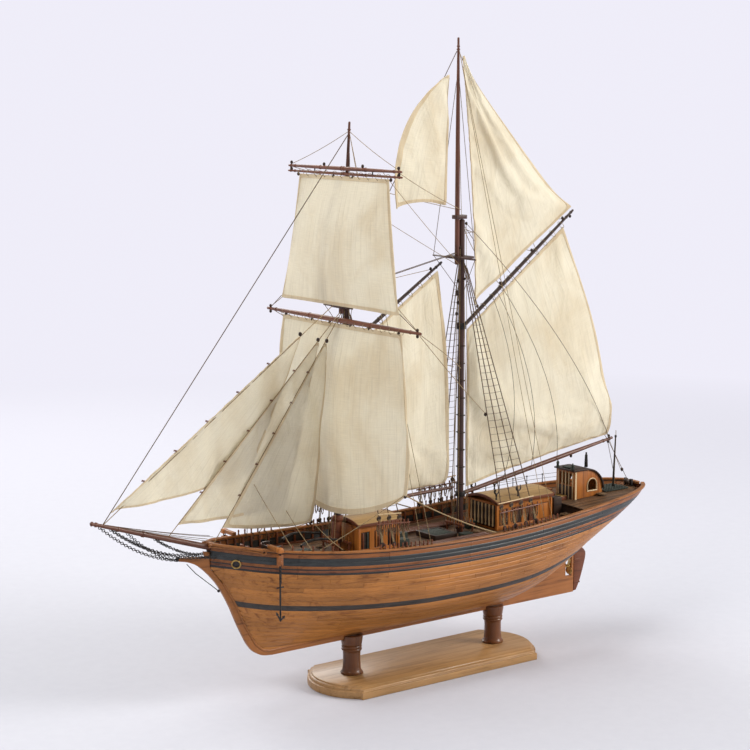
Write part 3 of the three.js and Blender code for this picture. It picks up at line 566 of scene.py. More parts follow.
# ---------------------------------------------------------------- stand
def make_stand():
    half, width, bulge = PLANK["half"], PLANK["width"], PLANK["bulge"]
    inner = width - PLANK["shoulder"]
    radius = (inner ** 2 + bulge ** 2) / (2 * bulge)
    sweep = math.asin(inner / radius)

    def outline(inset, z):
        points = []
        for end in (1, -1):
            centre = end * (half + bulge - radius)
            points.append((end * (half - inset), -end * (width - inset), z))
            for k in range(21):
                a = end * sweep * (k / 10 - 1) * (radius - inset) / radius
                reach = radius - inset
                points.append((centre + end * reach * math.cos(a), reach * math.sin(a), z))
            points.append((end * (half - inset), end * (width - inset), z))
        return points

    ogee = [(0.9, 0), (0.25, 0.25), (0, 0.9), (0, 8.0), (0.25, 8.7), (0.9, 9.0), (2.3, 9.1), (2.5, 9.4),
            (2.5, 10.4), (2.7, 11.3), (3.2, 12.1), (4.0, 12.7), (4.8, 12.9), (5.2, 13.1), (5.4, 13.6),
            (5.6, 14.5), (6.2, 15)]
    piece("plinth", Shape().loft([outline(i, z) for i, z in ogee]), PLINTH_WOOD,
          stands_for=["stand_base"], angle=50)

    z0 = PLANK["thick"] + 0.3
    turned = [(0, 0), (13.6, 0), (14.2, 0.5), (14.2, 2), (13.6, 2.6), (12.8, 3.6), (12.2, 4.6), (11.8, 6),
              (11.4, 8), (11.3, 10), (11, 16), (11, 22.7), (11.1, 27), (11.2, 29), (11.4, 29.7), (12.2, 30),
              (12.9, 30.8), (13, 31.7), (12.6, 32.6), (12.1, 33.1), (12.6, 33.7), (12.9, 34.6), (12.9, 35.6),
              (12.4, 36.5), (12.0, 36.9), (12.5, 37.5), (12.9, 38.4), (13, 39.6), (13.4, 42), (14, 45.4),
              (14.2, 47.5), (14.1, 49.6), (13.6, 49.9), (0, 49.9)]
    for node, x in (("stand_column_fore", -COLUMN_X), ("stand_column_aft", COLUMN_X)):
        column = piece(node + "_turned", Shape().post((x, 0, z0), turned, 40), COLUMN_WOOD,
                       stands_for=[node])
        slot_half = KEEL_HALF + 0.3
        cutter = piece("slot", Shape().block((x - 20, -slot_half, KEEL_Z - 0.3), (x + 20, slot_half, 80)),
                       COLUMN_WOOD)
        cut = column.modifiers.new("slot", "BOOLEAN")
        cut.object = cutter
        cut.solver = "EXACT"
        apply_modifiers(column)
        bpy.data.objects.remove(cutter)


def apply_modifiers(thing):
    bpy.context.view_layer.update()
    graph = bpy.context.evaluated_depsgraph_get()
    mesh = bpy.data.meshes.new_from_object(thing.evaluated_get(graph), depsgraph=graph)
    thing.modifiers.clear()
    thing.data = mesh


make_stand()

# ---------------------------------------------------------------- hull planking
WALE_TOP, WALE_LOW, STRIPE_LOW, LINE_LOW = 9.2, 18.8, 27.0, 29.6
BOOT_TOP, BOOT_LOW = 70.5, 77.5
UPPER_STRAKES, LOWER_STRAKES = 7, 10
SHELL = 2.2


def drop_at(x, drop):
    """How far below the rail a line of the planking runs; the lower lines sweep up aft."""
    lift = 1 - 0.15 * ease((x - 96) / 140) * ease((drop - 29) / 40)
    return rail_z(x) - drop * lift


def lower_line(x, k):
    """Strake lines between the boot band and the keel, k from 0 at the band."""
    top = drop_at(x, BOOT_LOW)
    low = PLANKING_Z if x < -240 else bottom_z(x)
    fullness = between(1.0, 1.9, ease((x + 260) / 120) * (1 - ease((x - 110) / 120)))
    return low + (top - low) * (1 - k / LOWER_STRAKES) ** fullness


def clip_range(upper, x0=BOW_X + 0.5, x1=STERN_X, step=6.0):
    """The stretch of hull where a strake's upper line stays above the hull's bottom."""
    fine = [x for x in np.arange(x0, x1 + 0.1, 0.5) if upper(x) > bottom_z(x) + 0.3]
    if len(fine) < 20:
        return []
    count = round((fine[-1] - fine[0]) / step)
    return [float(between(fine[0], fine[-1], k / count)) for k in range(count + 1)]


def add_strake(shape, upper, lower, seam=0.28, plank=118.0, shift=0.0):
    """One strake down both sides, thick, with eased edges, and butts between its planks."""
    xs = clip_range(upper)
    if len(xs) < 3:
        return
    first = (xs[0] - shift) // plank
    for side in (-1, 1):
        bays = {}
        for x in xs:
            bays.setdefault(int((x - shift) // plank - first), []).append(x)
        keys = sorted(bays)
        for here, following in zip(keys, keys[1:]):
            bays[here].append(bays[following][0] - 0.35)
        for key in keys:
            rings = []
            for x in bays[key]:
                high = upper(x)
                low = max(lower(x), bottom_z(x) + 0.05)
                seam_here = min(seam, (high - low) * 0.1)
                rings.append([
                    skin(x, high - 0.02, side, seam_here), skin(x, high - seam_here * 1.6, side, 0),
                    skin(x, (high + low) / 2, side, 0), skin(x, low + seam_here * 1.6, side, 0),
                    skin(x, low + 0.02, side, seam_here), skin(x, low + 0.02, side, SHELL),
                    skin(x, high - 0.02, side, SHELL)])
            if len(rings) > 1:
                shape.loft(rings, tone_within(0.5))


def skin(x, z, side, inward):
    return (x, side * max(KEEL_HALF - 1.6, half_breadth(x, z) - inward), z)


def add_strakes(shape, top, low, count, stagger):
    """Strakes of equal depth between two drops below the rail."""
    for k in range(count):
        a, b = between(top, low, k / count), between(top, low, (k + 1) / count)
        add_strake(shape, lambda x, a=a: drop_at(x, a), lambda x, b=b: drop_at(x, b), shift=stagger * k)


def make_hull():
    bands = [("sheer_line", BLACK_LINE, 3.2, 4.2, 1), ("sheer_strake", BROWN_STRAKE, 4.2, WALE_TOP, 1),
             ("wale", SLATE, WALE_TOP, WALE_LOW, 2), ("rubbing_strake", BROWN_STRAKE, WALE_LOW, 22.4, 1),
             ("upper_line", BLACK_LINE, 22.4, 23.9, 1), ("lower_strake", RED_STRIPE, 23.9, STRIPE_LOW, 1),
             ("black_line", BLACK_LINE, STRIPE_LOW, LINE_LOW, 1),
             ("boot_band", BOOT_GREY, BOOT_TOP, BOOT_LOW, 1)]
    for name, material, top, low, count in bands:
        shape = Shape()
        add_strakes(shape, top, low, count, 31.0)
        piece(name, shape, material)
    planks = Shape()
    add_strakes(planks, LINE_LOW, BOOT_TOP, UPPER_STRAKES, 43.0)
    for k in range(LOWER_STRAKES):
        add_strake(planks, lambda x, k=k: lower_line(x, k), lambda x, k=k: lower_line(x, k + 1),
                   shift=37.0 * k)
    piece("hull_planking", planks, HONEY, stands_for=["hull_shell"])

    rabbet = Shape()
    line = [(x + 1.0, z) for x, z in STEM_INSIDE[1:]]
    line += [(x, bottom_z(x) + 0.4) for x in range(-225, 101, 25)]
    for side in (-1, 1):
        rabbet.tube([(x, side * (KEEL_HALF - 0.4), z) for x, z in line], 1.75, 8)
    piece("rabbet_strip", rabbet, HONEY_KEEL, angle=60)

    counter = Shape()
    xs = np.linspace(232, STERN_X, 30)
    counter.loft([crosswise(x, -3.3, 3.3, bottom_z(x) + 0.1, bottom_z(x) + 2.4) for x in xs])
    piece("counter_timber", counter, HONEY_KEEL, bevel=0.3)
    stern = Shape()
    half = rail_half(STERN_X)
    stern.loft([[(x, -half + 1, bottom_z(STERN_X) + 1), (x, half - 1, bottom_z(STERN_X) + 1),
                 (x, half - 0.4, rail_z(x) - 3.2), (x, -half + 0.4, rail_z(x) - 3.2)]
                for x in (STERN_X - 3, STERN_X)])
    piece("transom", stern, RED_WOOD, bevel=0.4)


make_hull()


def make_rail():
    """The rail cap with a bead on its outer edge, and the moulded head rails at the bow."""
    section = [(1.8, -2.2), (2.1, -1.4), (1.8, -0.5), (1.2, -0.05), (0, 0), (-2.8, 0), (-3.5, -0.4),
               (-3.6, -1.4), (-3.4, -2.9), (1.0, -2.9)]
    shape = Shape()
    xs = np.linspace(0, 1, 120)
    for side in (-1, 1):
        rings = []
        for s in xs:
            x = between(BOW_X - 2, STERN_X + 1, s - 0.11 * math.sin(2 * math.pi * s))
            slope = (rail_half(x + 0.5) - rail_half(x - 0.5))
            out = Vector((-slope, 1)).normalized()
            rings.append([(x + out.x * a, side * max(0.05, rail_half(x) + out.y * a), rail_z(x) + b)
                          for a, b in section])
        shape.loft(rings)
    for ends in (((BOW_X - 2.5, 2.5), (BOW_X + 6, 6.5)), ((STERN_X - 6, 15), (STERN_X + 1, 9))):
        shape.loft([crosswise(x, -w, w, rail_z(x) - 2.9, rail_z(x) - 0.1) for x, w in ends])
    piece("rail_cap_moulded", shape, RAIL_WOOD, stands_for=["rail_cap"], angle=60)

    mould = Shape()
    for side in (-1, 1):
        for lift, wire in ((-2.2, 1.5), (-5.0, 1.1)):
            route = []
            for k in range(14):
                x = between(-326, -272, k / 13)
                z = rail_z(x) + lift + 1.5 * math.sin(k / 13 * math.pi)
                route.append((x, side * (half_breadth(max(x, BOW_X), z) + wire * 0.6), z))
            mould.tube(route, wire, 8)
        scroll = [(-272 + 4 * math.sin(a) * (1 - a / 8), rail_z(-272) - 4 + 4 * math.cos(a) * (1 - a / 8))
                  for a in (k * 0.5 for k in range(13))]
        mould.tube([(x, side * (half_breadth(x, z) + 1.6), z) for x, z in scroll],
                   [1.4 - 0.07 * k for k in range(13)], 8)
    piece("head_rails", mould, RAIL_WOOD)


make_rail()


def make_deck():
    """Deck planks laid fore and aft, each clipped to the inside of the hull."""
    width, gap = 5.2, 0.35
    for name, x0, x1, node in (("main_deck_planks", -306, QUARTER_X - 0.5, "main_deck"),
                               ("quarter_deck_planks", QUARTER_X + 0.2, 363, "quarter_deck")):
        shape = Shape()
        for k in range(-17, 18):
            y = k * width
            xs = [x for x in np.arange(x0, x1, 7.0)
                  if half_breadth(x, deck_z(x) - 4) - SHELL > abs(y) + width / 2]
            if len(xs) < 2:
                continue
            if xs[-1] > x1 - 8:
                xs.append(x1)
            a, b = y - (width - gap) / 2, y + (width - gap) / 2
            shape.loft([[(x, a, deck_z(x, a) - 1.8), (x, b, deck_z(x, b) - 1.8), (x, b, deck_z(x, b) - 0.15),
                         (x, b - 0.2, deck_z(x, b)), (x, a + 0.2, deck_z(x, a)), (x, a, deck_z(x, a) - 0.15)]
                        for x in xs], tone_within(0.5))
        under = Shape()
        xs = list(np.arange(x0, x1, 9.0)) + [x1]
        under.loft([[(x, y, deck_z(x, y) + lift) for y, lift in (
            [(s * w, -1.9) for s in (-1, -0.5, 0, 0.5, 1)] + [(s * w, -0.5) for s in (1, 0.5, 0, -0.5, -1)])]
            for x, w in ((x, max(2.0, half_breadth(x, deck_z(x) - 4) - SHELL + 0.1)) for x in xs)])
        if node == "quarter_deck":
            w = half_breadth(x0, deck_z(x0 - 2)) - SHELL
            under.loft([[(x, -w, deck_z(x0 - 2) - 0.5), (x, w, deck_z(x0 - 2) - 0.5),
                         (x, w, deck_z(x0) - 1), (x, 0, deck_z(x0) + 0.9), (x, -w, deck_z(x0) - 1)]
                        for x in (x0 + 0.1, x0 + 2)])
        piece(name, shape, DECK_WOOD, stands_for=[node], angle=50)
        piece(name.replace("planks", "seams"), under, DARK_WOOD)


make_deck()


def make_bulwarks():
    """Stanchions inside the bulwarks and the waterway along the deck."""
    stanchions, waterway = Shape(), Shape()
    for side in (-1, 1):
        for x in np.arange(-290, 205, 15.5):
            z = deck_z(x) - 2
            top = rail_z(x) - 3
            y0, y1 = half_breadth(x, z) - SHELL, half_breadth(x, top) - SHELL
            stanchions.loft([[(x - 1.3, side * (y - 1.8), h), (x + 1.3, side * (y - 1.8), h),
                              (x + 1.3, side * y, h), (x - 1.3, side * y, h)]
                             for y, h in ((y0, z), (y1, top))], tone_within(0.4))
        rings = []
        for x in np.arange(-300, 214, 9.0):
            z = deck_z(x) - CAMBER
            y = half_breadth(x, z) - SHELL
            rings.append([(x, side * (y - 3.2), z - 0.3), (x, side * y, z - 0.3), (x, side * y, z + 2.2),
                          (x, side * (y - 3.2), z + 1.2)])
        waterway.loft(rings)
    piece("bulwark_stanchions", stanchions, RED_WOOD, bevel=0.2)
    piece("waterways", waterway, RED_WOOD, bevel=0.25)


make_bulwarks()
for name, finish in (("keel", HONEY_KEEL), ("rudder", RED_WOOD)):
    polish(name, finish, 0.5)

# ---------------------------------------------------------------- masts and spars
def round_spar(node, a, b, radii, finish, rings=(), sides=24):
    """A round tapered spar with rounded ends and raised bands at the given shares of its length."""
    length = (Vector(b) - Vector(a)).length
    count = len(radii) - 1
    profile = [(0, 0), (radii[0] * 0.7, radii[0] * 0.12), (radii[0], radii[0] * 0.5)]
    for k in range(1, 40):
        s = k / 40
        at = min(count - 1, int(s * count))
        profile.append((between(radii[at], radii[at + 1], s * count - at), s * length))
    tip = radii[-1]
    profile += [(tip, length - tip * 0.5), (tip * 0.7, length - tip * 0.12), (0, length)]
    shape = Shape().lathe(a, b, profile, sides)
    for s, extra, width in rings:
        at = min(count - 1, int(s * count))
        r = between(radii[at], radii[at + 1], s * count - at) + extra
        shape.lathe(along(a, b, s), b, [(0, 0), (r - 0.2, 0), (r, 0.2), (r, width - 0.2), (r - 0.2, width),
                                        (0, width)], sides, 0.2)
    return piece(node + "_turned", shape, finish, BODY_OF[node], [node])


def make_masts():
    round_spar("fore_lower_mast", fore_at(FORE["foot"]), fore_at(FORE["cap"] - 0.3),
               [FORE["r0"], 4.4, FORE["r1"]], MAST_DARK, [(0.24, 1.2, 4), (0.62, 0.8, 2)])
    round_spar("main_lower_mast", main_at(MAIN["foot"]), main_at(MAIN["cap"] - 0.3),
               [MAIN["r0"], 4.1, MAIN["r1"]], MAST_DARK, [(0.20, 1.6, 4)])
    # The topmasts take the lighter copy of the mast wood, a painted highlight.
    round_spar("fore_topmast", fore_top_at(FORE["top"] - 8), fore_top_at(FORE["truck"]),
               [3.1, 2.9, 2.4, 1.4], SPAR_UP_PAINTED_HIGHLIGHT, [(0.955, 0.7, 1.6)])
    round_spar("main_topmast", main_top_at(MAIN["top"] - 8), main_top_at(MAIN["truck"]),
               [3.1, 3.0, 2.6, 1.4], SPAR_UP_PAINTED_HIGHLIGHT, [(0.945, 0.7, 1.6)])
    round_spar("bowsprit", *BOWSPRIT, [3.6, 3.5, 3.0, 1.9], SPAR_LONG,
               [(0.62, 0.7, 3), (0.80, 0.6, 2), (0.955, 0.8, 2), (0.985, 0.8, 1.5)])
    for node in ("fore_top", "main_top", "fore_cap", "main_cap"):
        polish(node, MAST_DARK, 0.35)

    hoops = Shape()
    for k in range(9):
        z = 236 + k * 22.5
        hoops.hoop(main_at(z), (0.12, 0, 1), mast_radius(MAIN, z) + 1.1, 0.75, 20)
        if z < 415:
            hoops.hoop(fore_at(z), (0.12, 0, 1), mast_radius(FORE, z) + 1.1, 0.7, 20)
    piece("mast_hoops", hoops, DARK_WOOD)
    # The trucks take the lighter copy of the mast wood, a painted highlight.
    trucks = Shape()
    for place in (main_top_at(MAIN["truck"] - 11), fore_top_at(FORE["truck"] - 10)):
        trucks.ball(place, 2.2, 0.2, 0.6)
    piece("mast_trucks", trucks, SPAR_UP_PAINTED_HIGHLIGHT)


def swinging_spar(node, mast, radii, finish):
    """A boom or gaff with the iron jaws that ride round its mast."""
    (mast_x, z), end = SWINGING[node]
    mast_r = mast_radius(mast, z)
    pitch = math.atan2(end[1] - z, end[0] - mast_x)
    start = (mast_x + mast_r + 1 + radii[0] * math.sin(pitch), 0, z + mast_r * math.tan(pitch))
    bands = [(0.93, 0.5, 1.6), (0.975, 0.6, 1.2)]
    round_spar(node, start, (end[0], 0, end[1]), radii, finish, bands, 20)
    jaws = Shape()
    top = z + 2.6 + mast_r * math.tan(pitch)
    jaws.post((mast_x, 0, z - 2.6),
              [(mast_r + 0.7, 0), (mast_r + 2.0, 0), (mast_r + 2.2, 0.4), (mast_r + 2.2, top - z + 2.2),
               (mast_r + 2.0, top - z + 2.6), (mast_r + 0.7, top - z + 2.6), (mast_r + 0.7, 0)], 24)
    piece(node + "_jaws", jaws, IRON, BODY_OF[node])


def make_spars():
    swinging_spar("main_boom", MAIN, [2.6, 3.0, 3.0, 1.8], SPAR_LONG)
    swinging_spar("main_gaff", MAIN, [2.5, 2.6, 2.3, 1.5], GAFF_DARK)
    swinging_spar("fore_boom", FORE, [2.2, 2.5, 2.4, 1.7], SPAR_LONG)
    swinging_spar("fore_gaff", FORE, [2.4, 2.4, 2.1, 1.5], GAFF_DARK)
    for node, x, spec in (("fore_yard", FORE_YARD_X, FORE_YARD), ("topsail_yard", TOP_YARD_X, TOP_YARD),
                          ("topsail_head_spar", TOP_YARD_X, HEAD_SPAR)):
        half, z, tip, r = spec["half"], spec["z"], spec["tip"], spec["r"]
        bands = [(s, 0.5, 1.4) for s in (0.02, 0.06, 0.3, 0.49, 0.51, 0.7, 0.935, 0.975)]
        quarter = between(tip, r, 0.7)
        radii = [tip, quarter, r, r, quarter, tip]
        round_spar(node, (x, -half, z), (x, half, z), radii, SPAR_ACROSS, bands, 20)
    low, high = FORE_YARD["z"], TOP_YARD["z"]
    for x, z, at, r, body in ((FORE_YARD_X, low, fore_at(low), mast_radius(FORE, low), "fore_yard"),
                              (TOP_YARD_X, high, fore_top_at(high), 2.4, "topsail_yard")):
        parrels = Shape()
        parrels.hoop(at, (0.05, 0, 1), r + 1.3, 0.7, 20)
        parrels.hoop((at[0], 0, z - 2), (0.05, 0, 1), r + 1.3, 0.5, 20)
        parrels.block((x - 0.4, -2.6, z - 2.2), (at[0] - r - 0.8, 2.6, z + 2.2))
        piece(body + "_parrel", parrels, IRON, body, bevel=0.2)
    slings = Shape()
    for y in (-113, -60, 60, 113):
        slings.tube([(TOP_YARD_X, y, TOP_YARD["z"]), (TOP_YARD_X, y, HEAD_SPAR["z"])], 0.8)
    piece("head_spar_slings", slings, IRON, "topsail_yard")


make_masts()
make_spars()

# ---------------------------------------------------------------- sails
SAILS = {
    "flying_jib": {"corners": [(-192, 0, 447), (-190, 0, 446), (-262, 11, 291), (-450, 0, 266)],
                   "belly": (0, 6, 0), "foot": (0, 0, -4), "held": "luff clew", "on": "fore_topmast_stay"},
    "jib": {"corners": [(-165, 0, 438), (-163, 0, 437), (-214, 9, 247), (-363, 0, 240)],
            "belly": (0, 4, 0), "foot": (0, 0, -4), "held": "luff clew", "on": "bowsprit"},
    "fore_staysail": {"corners": [(-154, -1, 436), (-152, -1, 435), (-176, -2, 219), (-302, 0, 228)],
                      "belly": (0, -7, 0), "leech": (4, 0, 0), "foot": (0, 0, -3), "held": "luff clew",
                      "on": "bowsprit"},
    "topsail": {"corners": [(TOP_YARD_X, 92, 636.6), (TOP_YARD_X, -92, 636.6),
                            (FORE_YARD_X - 3, -124, 482), (FORE_YARD_X - 3, 124, 482)],
                "belly": (-14, 0, 0), "leech": (0, 3, 0), "luff": (0, -3, 0), "foot": (-9, 0, 5),
                "held": "head clew tack", "on": "topsail_head_spar"},
    "course": {"corners": [(FORE_YARD_X, 124, 458), (FORE_YARD_X, -124, 458),
                           (-131, -131, 268), (-131, 131, 268)],
               "belly": (-19, 0, 0), "leech": (3, -8, 0), "luff": (3, 8, 0), "foot": (-15, 0, -36),
               "held": "head clew tack", "on": "fore_yard"},
    "foresail": {"corners": [(-116.5, 0, 422), (19, 0, 514), (31, 0, 240), (-125, 0, 235)],
                 "belly": (0, -12, 0), "leech": (9, -4, 0), "held": "head luff foot", "on": "fore_gaff"},
    "topmast_staysail": {"corners": [(33, 0, 757), (36, 0, 758), (33, 0, 597), (-45, 0, 594)],
                         "belly": (0, -5, 0), "luff": (-29, 0, 14), "foot": (0, 0, 8), "held": "luff clew",
                         "on": "main_topmast"},
    "mainsail": {"corners": [(67, 0, 436), (229, 0, 560), (315, 0, 273), (68, 0, 231)],
                 "belly": (0, -22, 0), "leech": (12, -18, 0), "foot": (0, 0, 3), "held": "head luff foot",
                 "on": "main_gaff"},
    "gaff_topsail": {"corners": [(57.5, 0, 781), (59.5, 0, 781.5), (243, 0, 586.5), (82, 0, 466.5)],
                     "belly": (0, -10, 0), "luff": (4, 0, 0), "foot": (0, 0, 4), "held": "luff clew",
                     "on": "main_topmast"},
}
HEM = 4.6
CELL = 6.5
CLOTH_THICK = 0.45


def sail_surface(spec):
    a, b, c, d = (Vector(p) for p in spec["corners"])
    bows = {key: Vector(spec.get(key, (0, 0, 0))) for key in ("belly", "leech", "luff", "foot")}

    def point(u, v):
        su, sv = 4 * u * (1 - u), 4 * v * (1 - v)
        place = a.lerp(b, u).lerp(d.lerp(c, u), v)
        return (place + bows["belly"] * su * sv + bows["leech"] * u ** 3 * sv
                + bows["luff"] * (1 - u) ** 3 * sv + bows["foot"] * v ** 3 * su)
    return point


def grid_lines(length):
    """Places from 0 to 1 with a hem's width at each end and even cells between."""
    edge = HEM / length
    count = max(6, round((length - 2 * HEM) / CELL))
    return [0, edge / 2] + [between(edge, 1 - edge, k / count) for k in range(count + 1)] + [1 - edge / 2, 1]


def drape(mesh, rows, columns, held, frames=30, reach=9.0):
    """Lets the cloth settle between the places it is bent on, then keeps each point near its cut."""
    thing = bpy.data.objects.new("settling", mesh)
    bpy.context.scene.collection.objects.link(thing)
    group = thing.vertex_groups.new(name="pin")
    last_row, last_column = rows - 1, columns - 1
    for i in range(rows):
        for j in range(columns):
            head, foot, luff, leech = j == 0, j == last_column, i == 0, i == last_row
            tied = ((head and "head" in held) or (luff and "luff" in held)
                    or (foot and "foot" in held) or (foot and leech and "clew" in held)
                    or (foot and luff and "tack" in held) or (head and leech))
            if tied:
                group.add([i * columns + j], 1.0, "REPLACE")
            elif (foot or leech or luff or head) and "head" in held:
                group.add([i * columns + j], 0.02, "REPLACE")
    rest = np.array([v.co for v in mesh.vertices], float)
    cloth_modifier = thing.modifiers.new("cloth", "CLOTH")
    settings = cloth_modifier.settings
    settings.quality = 6
    settings.mass = 0.02
    settings.tension_stiffness = settings.compression_stiffness = 12
    settings.shear_stiffness = 4
    settings.bending_stiffness = 0.02
    settings.air_damping = 2.0
    settings.vertex_group_mass = "pin"
    settings.shrink_min = -0.022
    cloth_modifier.point_cache.frame_start = 1
    cloth_modifier.point_cache.frame_end = frames
    cloth_modifier.collision_settings.use_collision = False
    scene = bpy.context.scene
    for number in range(1, frames + 1):
        scene.frame_set(number)
    graph = bpy.context.evaluated_depsgraph_get()
    settled = np.array([v.co for v in thing.evaluated_get(graph).data.vertices], float)
    scene.frame_set(1)
    bpy.data.objects.remove(thing)
    move = settled - rest
    if "tack" in held:
        move[:, 0] = np.minimum(move[:, 0], 0)
    size = np.linalg.norm(move, axis=1, keepdims=True)
    limit = reach * MM
    move *= np.tanh(size / limit) * limit / np.maximum(size, 1e-9)
    mesh.vertices.foreach_set("co", (rest + move).astype(np.float32).ravel())
    mesh.update()


def grid_mesh(name, places, columns, cells, uvs):
    mesh = bpy.data.meshes.new(name)
    faces = [(i * columns + j, (i + 1) * columns + j, (i + 1) * columns + j + 1, i * columns + j + 1)
             for i, j in cells]
    mesh.from_pydata([tuple(p) for p in places], [], faces)
    layer = mesh.uv_layers.new(name="cut")
    for polygon in mesh.polygons:
        for loop in polygon.loop_indices:
            layer.data[loop].uv = uvs[mesh.loops[loop].vertex_index]
    return mesh


def make_sail(name, spec):
    point = sail_surface(spec)
    a, b, c, d = (Vector(p) for p in spec["corners"])
    width, height = max((a - b).length, (c - d).length), max((a - d).length, (b - c).length)
    us, vs = grid_lines(width), grid_lines(height)
    rows, columns = len(us), len(vs)
    places = [point(u, v) * MM for u in us for v in vs]
    uvs = [(u * width * MM, v * height * MM) for u in us for v in vs]
    cells = [(i, j) for i in range(rows - 1) for j in range(columns - 1)]
    mesh = grid_mesh(name + "_cloth", places, columns, cells, uvs)
    drape(mesh, rows, columns, spec["held"])
    settled = [v.co.copy() for v in mesh.vertices]
    edge = [(i, j) for i, j in cells if i < 2 or j < 2 or i >= rows - 3 or j >= columns - 3]
    hem_mesh = grid_mesh(name + "_hem", settled, columns, edge, uvs)
    work = bmesh.new()
    work.from_mesh(hem_mesh)
    bmesh.ops.delete(work, geom=[v for v in work.verts if not v.link_faces], context="VERTS")
    work.to_mesh(hem_mesh)
    work.free()
    body, made = BODY_OF[name], []
    for part, thick, finish in ((mesh, CLOTH_THICK, SAILCLOTH), (hem_mesh, 1.3, HEMCLOTH)):
        sheet = piece(part.name, part, finish, body=None, angle=180)
        rounding = sheet.modifiers.new("rounding", "SUBSURF")
        rounding.levels = rounding.render_levels = 1
        rounding.boundary_smooth = "PRESERVE_CORNERS"
        body_of_cloth = sheet.modifiers.new("thickness", "SOLIDIFY")
        body_of_cloth.thickness = thick * MM
        body_of_cloth.offset = 0
        apply_modifiers(sheet)
        smooth(sheet.data, 60)
        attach(sheet, body)
        made.append(sheet)
    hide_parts(name)


for sail_name, sail_spec in SAILS.items():
    make_sail(sail_name, sail_spec)

# ---------------------------------------------------------------- rigging helpers
def sagged(a, b, sag, steps):
    """Points from a to b that hang by sag in the middle."""
    points = []
    for k in range(steps + 1):
        t = k / steps
        x, y, z = along(a, b, t)
        points.append((x, y, z - 4 * sag * t * (1 - t)))
    return points


def ropes(name, runs, finish, radius=0.45, body="hull", stands_for=(), sides=6):
    """Several lines in one piece. Each run is (a, b) or (a, b, sag)."""
    shape = Shape()
    for run in runs:
        sag = run[2] if len(run) > 2 else 0.0
        shape.tube(sagged(run[0], run[1], sag, 10 if sag else 1), radius, sides)
    return piece(name, shape, finish, body, stands_for, angle=80)


def crossing_rope(name, a, b, finish, radius, sag=0.0, swell=0.0):
    """A line from the hull to a body that one joint joins to it, bowed to port by swell in its middle."""
    points = [(x, y - 4 * swell * (k / 16) * (1 - k / 16), z)
              for k, (x, y, z) in enumerate(sagged(a, b, sag, 16))]
    line = piece(name, Shape().tube(points, radius, 6), finish, None, angle=80)
    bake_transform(line)


def add_block(shape, centre, size=2.6, tone=0.0):
    """A rigging block: a rounded oval shell with a rope strop."""
    profile = [(0, -size * 0.62), (size * 0.32, -size * 0.6), (size * 0.52, -size * 0.3), (size * 0.56, 0),
               (size * 0.52, size * 0.3), (size * 0.32, size * 0.6), (0, size * 0.62)]
    shape.post(centre, profile, 12, tone)
    shape.hoop(centre, (1, 0, 0), size * 0.6, size * 0.12, 14, 5, tone)


def add_chain(shape, points, link=2.9, wire=0.46):
    """Round links, each turned a quarter from the last, along the given points."""
    places = [Vector(p) for p in points]
    lengths = [(b - a).length for a, b in zip(places, places[1:])]
    total, step, count = sum(lengths), link * 1.02, 0
    distance = step / 2
    while distance < total:
        k, rest = 0, distance
        while rest > lengths[k]:
            rest -= lengths[k]
            k += 1
        way = (places[k + 1] - places[k]).normalized()
        side = way.cross(Vector((0.1, 0.95, 0.3))).normalized()
        axis = side if count % 2 else way.cross(side)
        shape.hoop(places[k] + way * rest, axis, link * 0.58, wire, 10, 5)
        count += 1
        distance += step


# ---------------------------------------------------------------- shrouds, ratlines and deadeyes
MAIN_FEET = (60, 78, 96, 114)
FORE_FEET = (-124, -108, -92)
DEADEYE_GAP = {"main": 27, "fore": 33}
RATLINE_STEP = 8.5
DEADEYE = [(0, 0), (2.0, 0), (2.6, 0.5), (2.75, 1.1), (2.6, 1.7), (2.0, 2.2), (0, 2.2)]


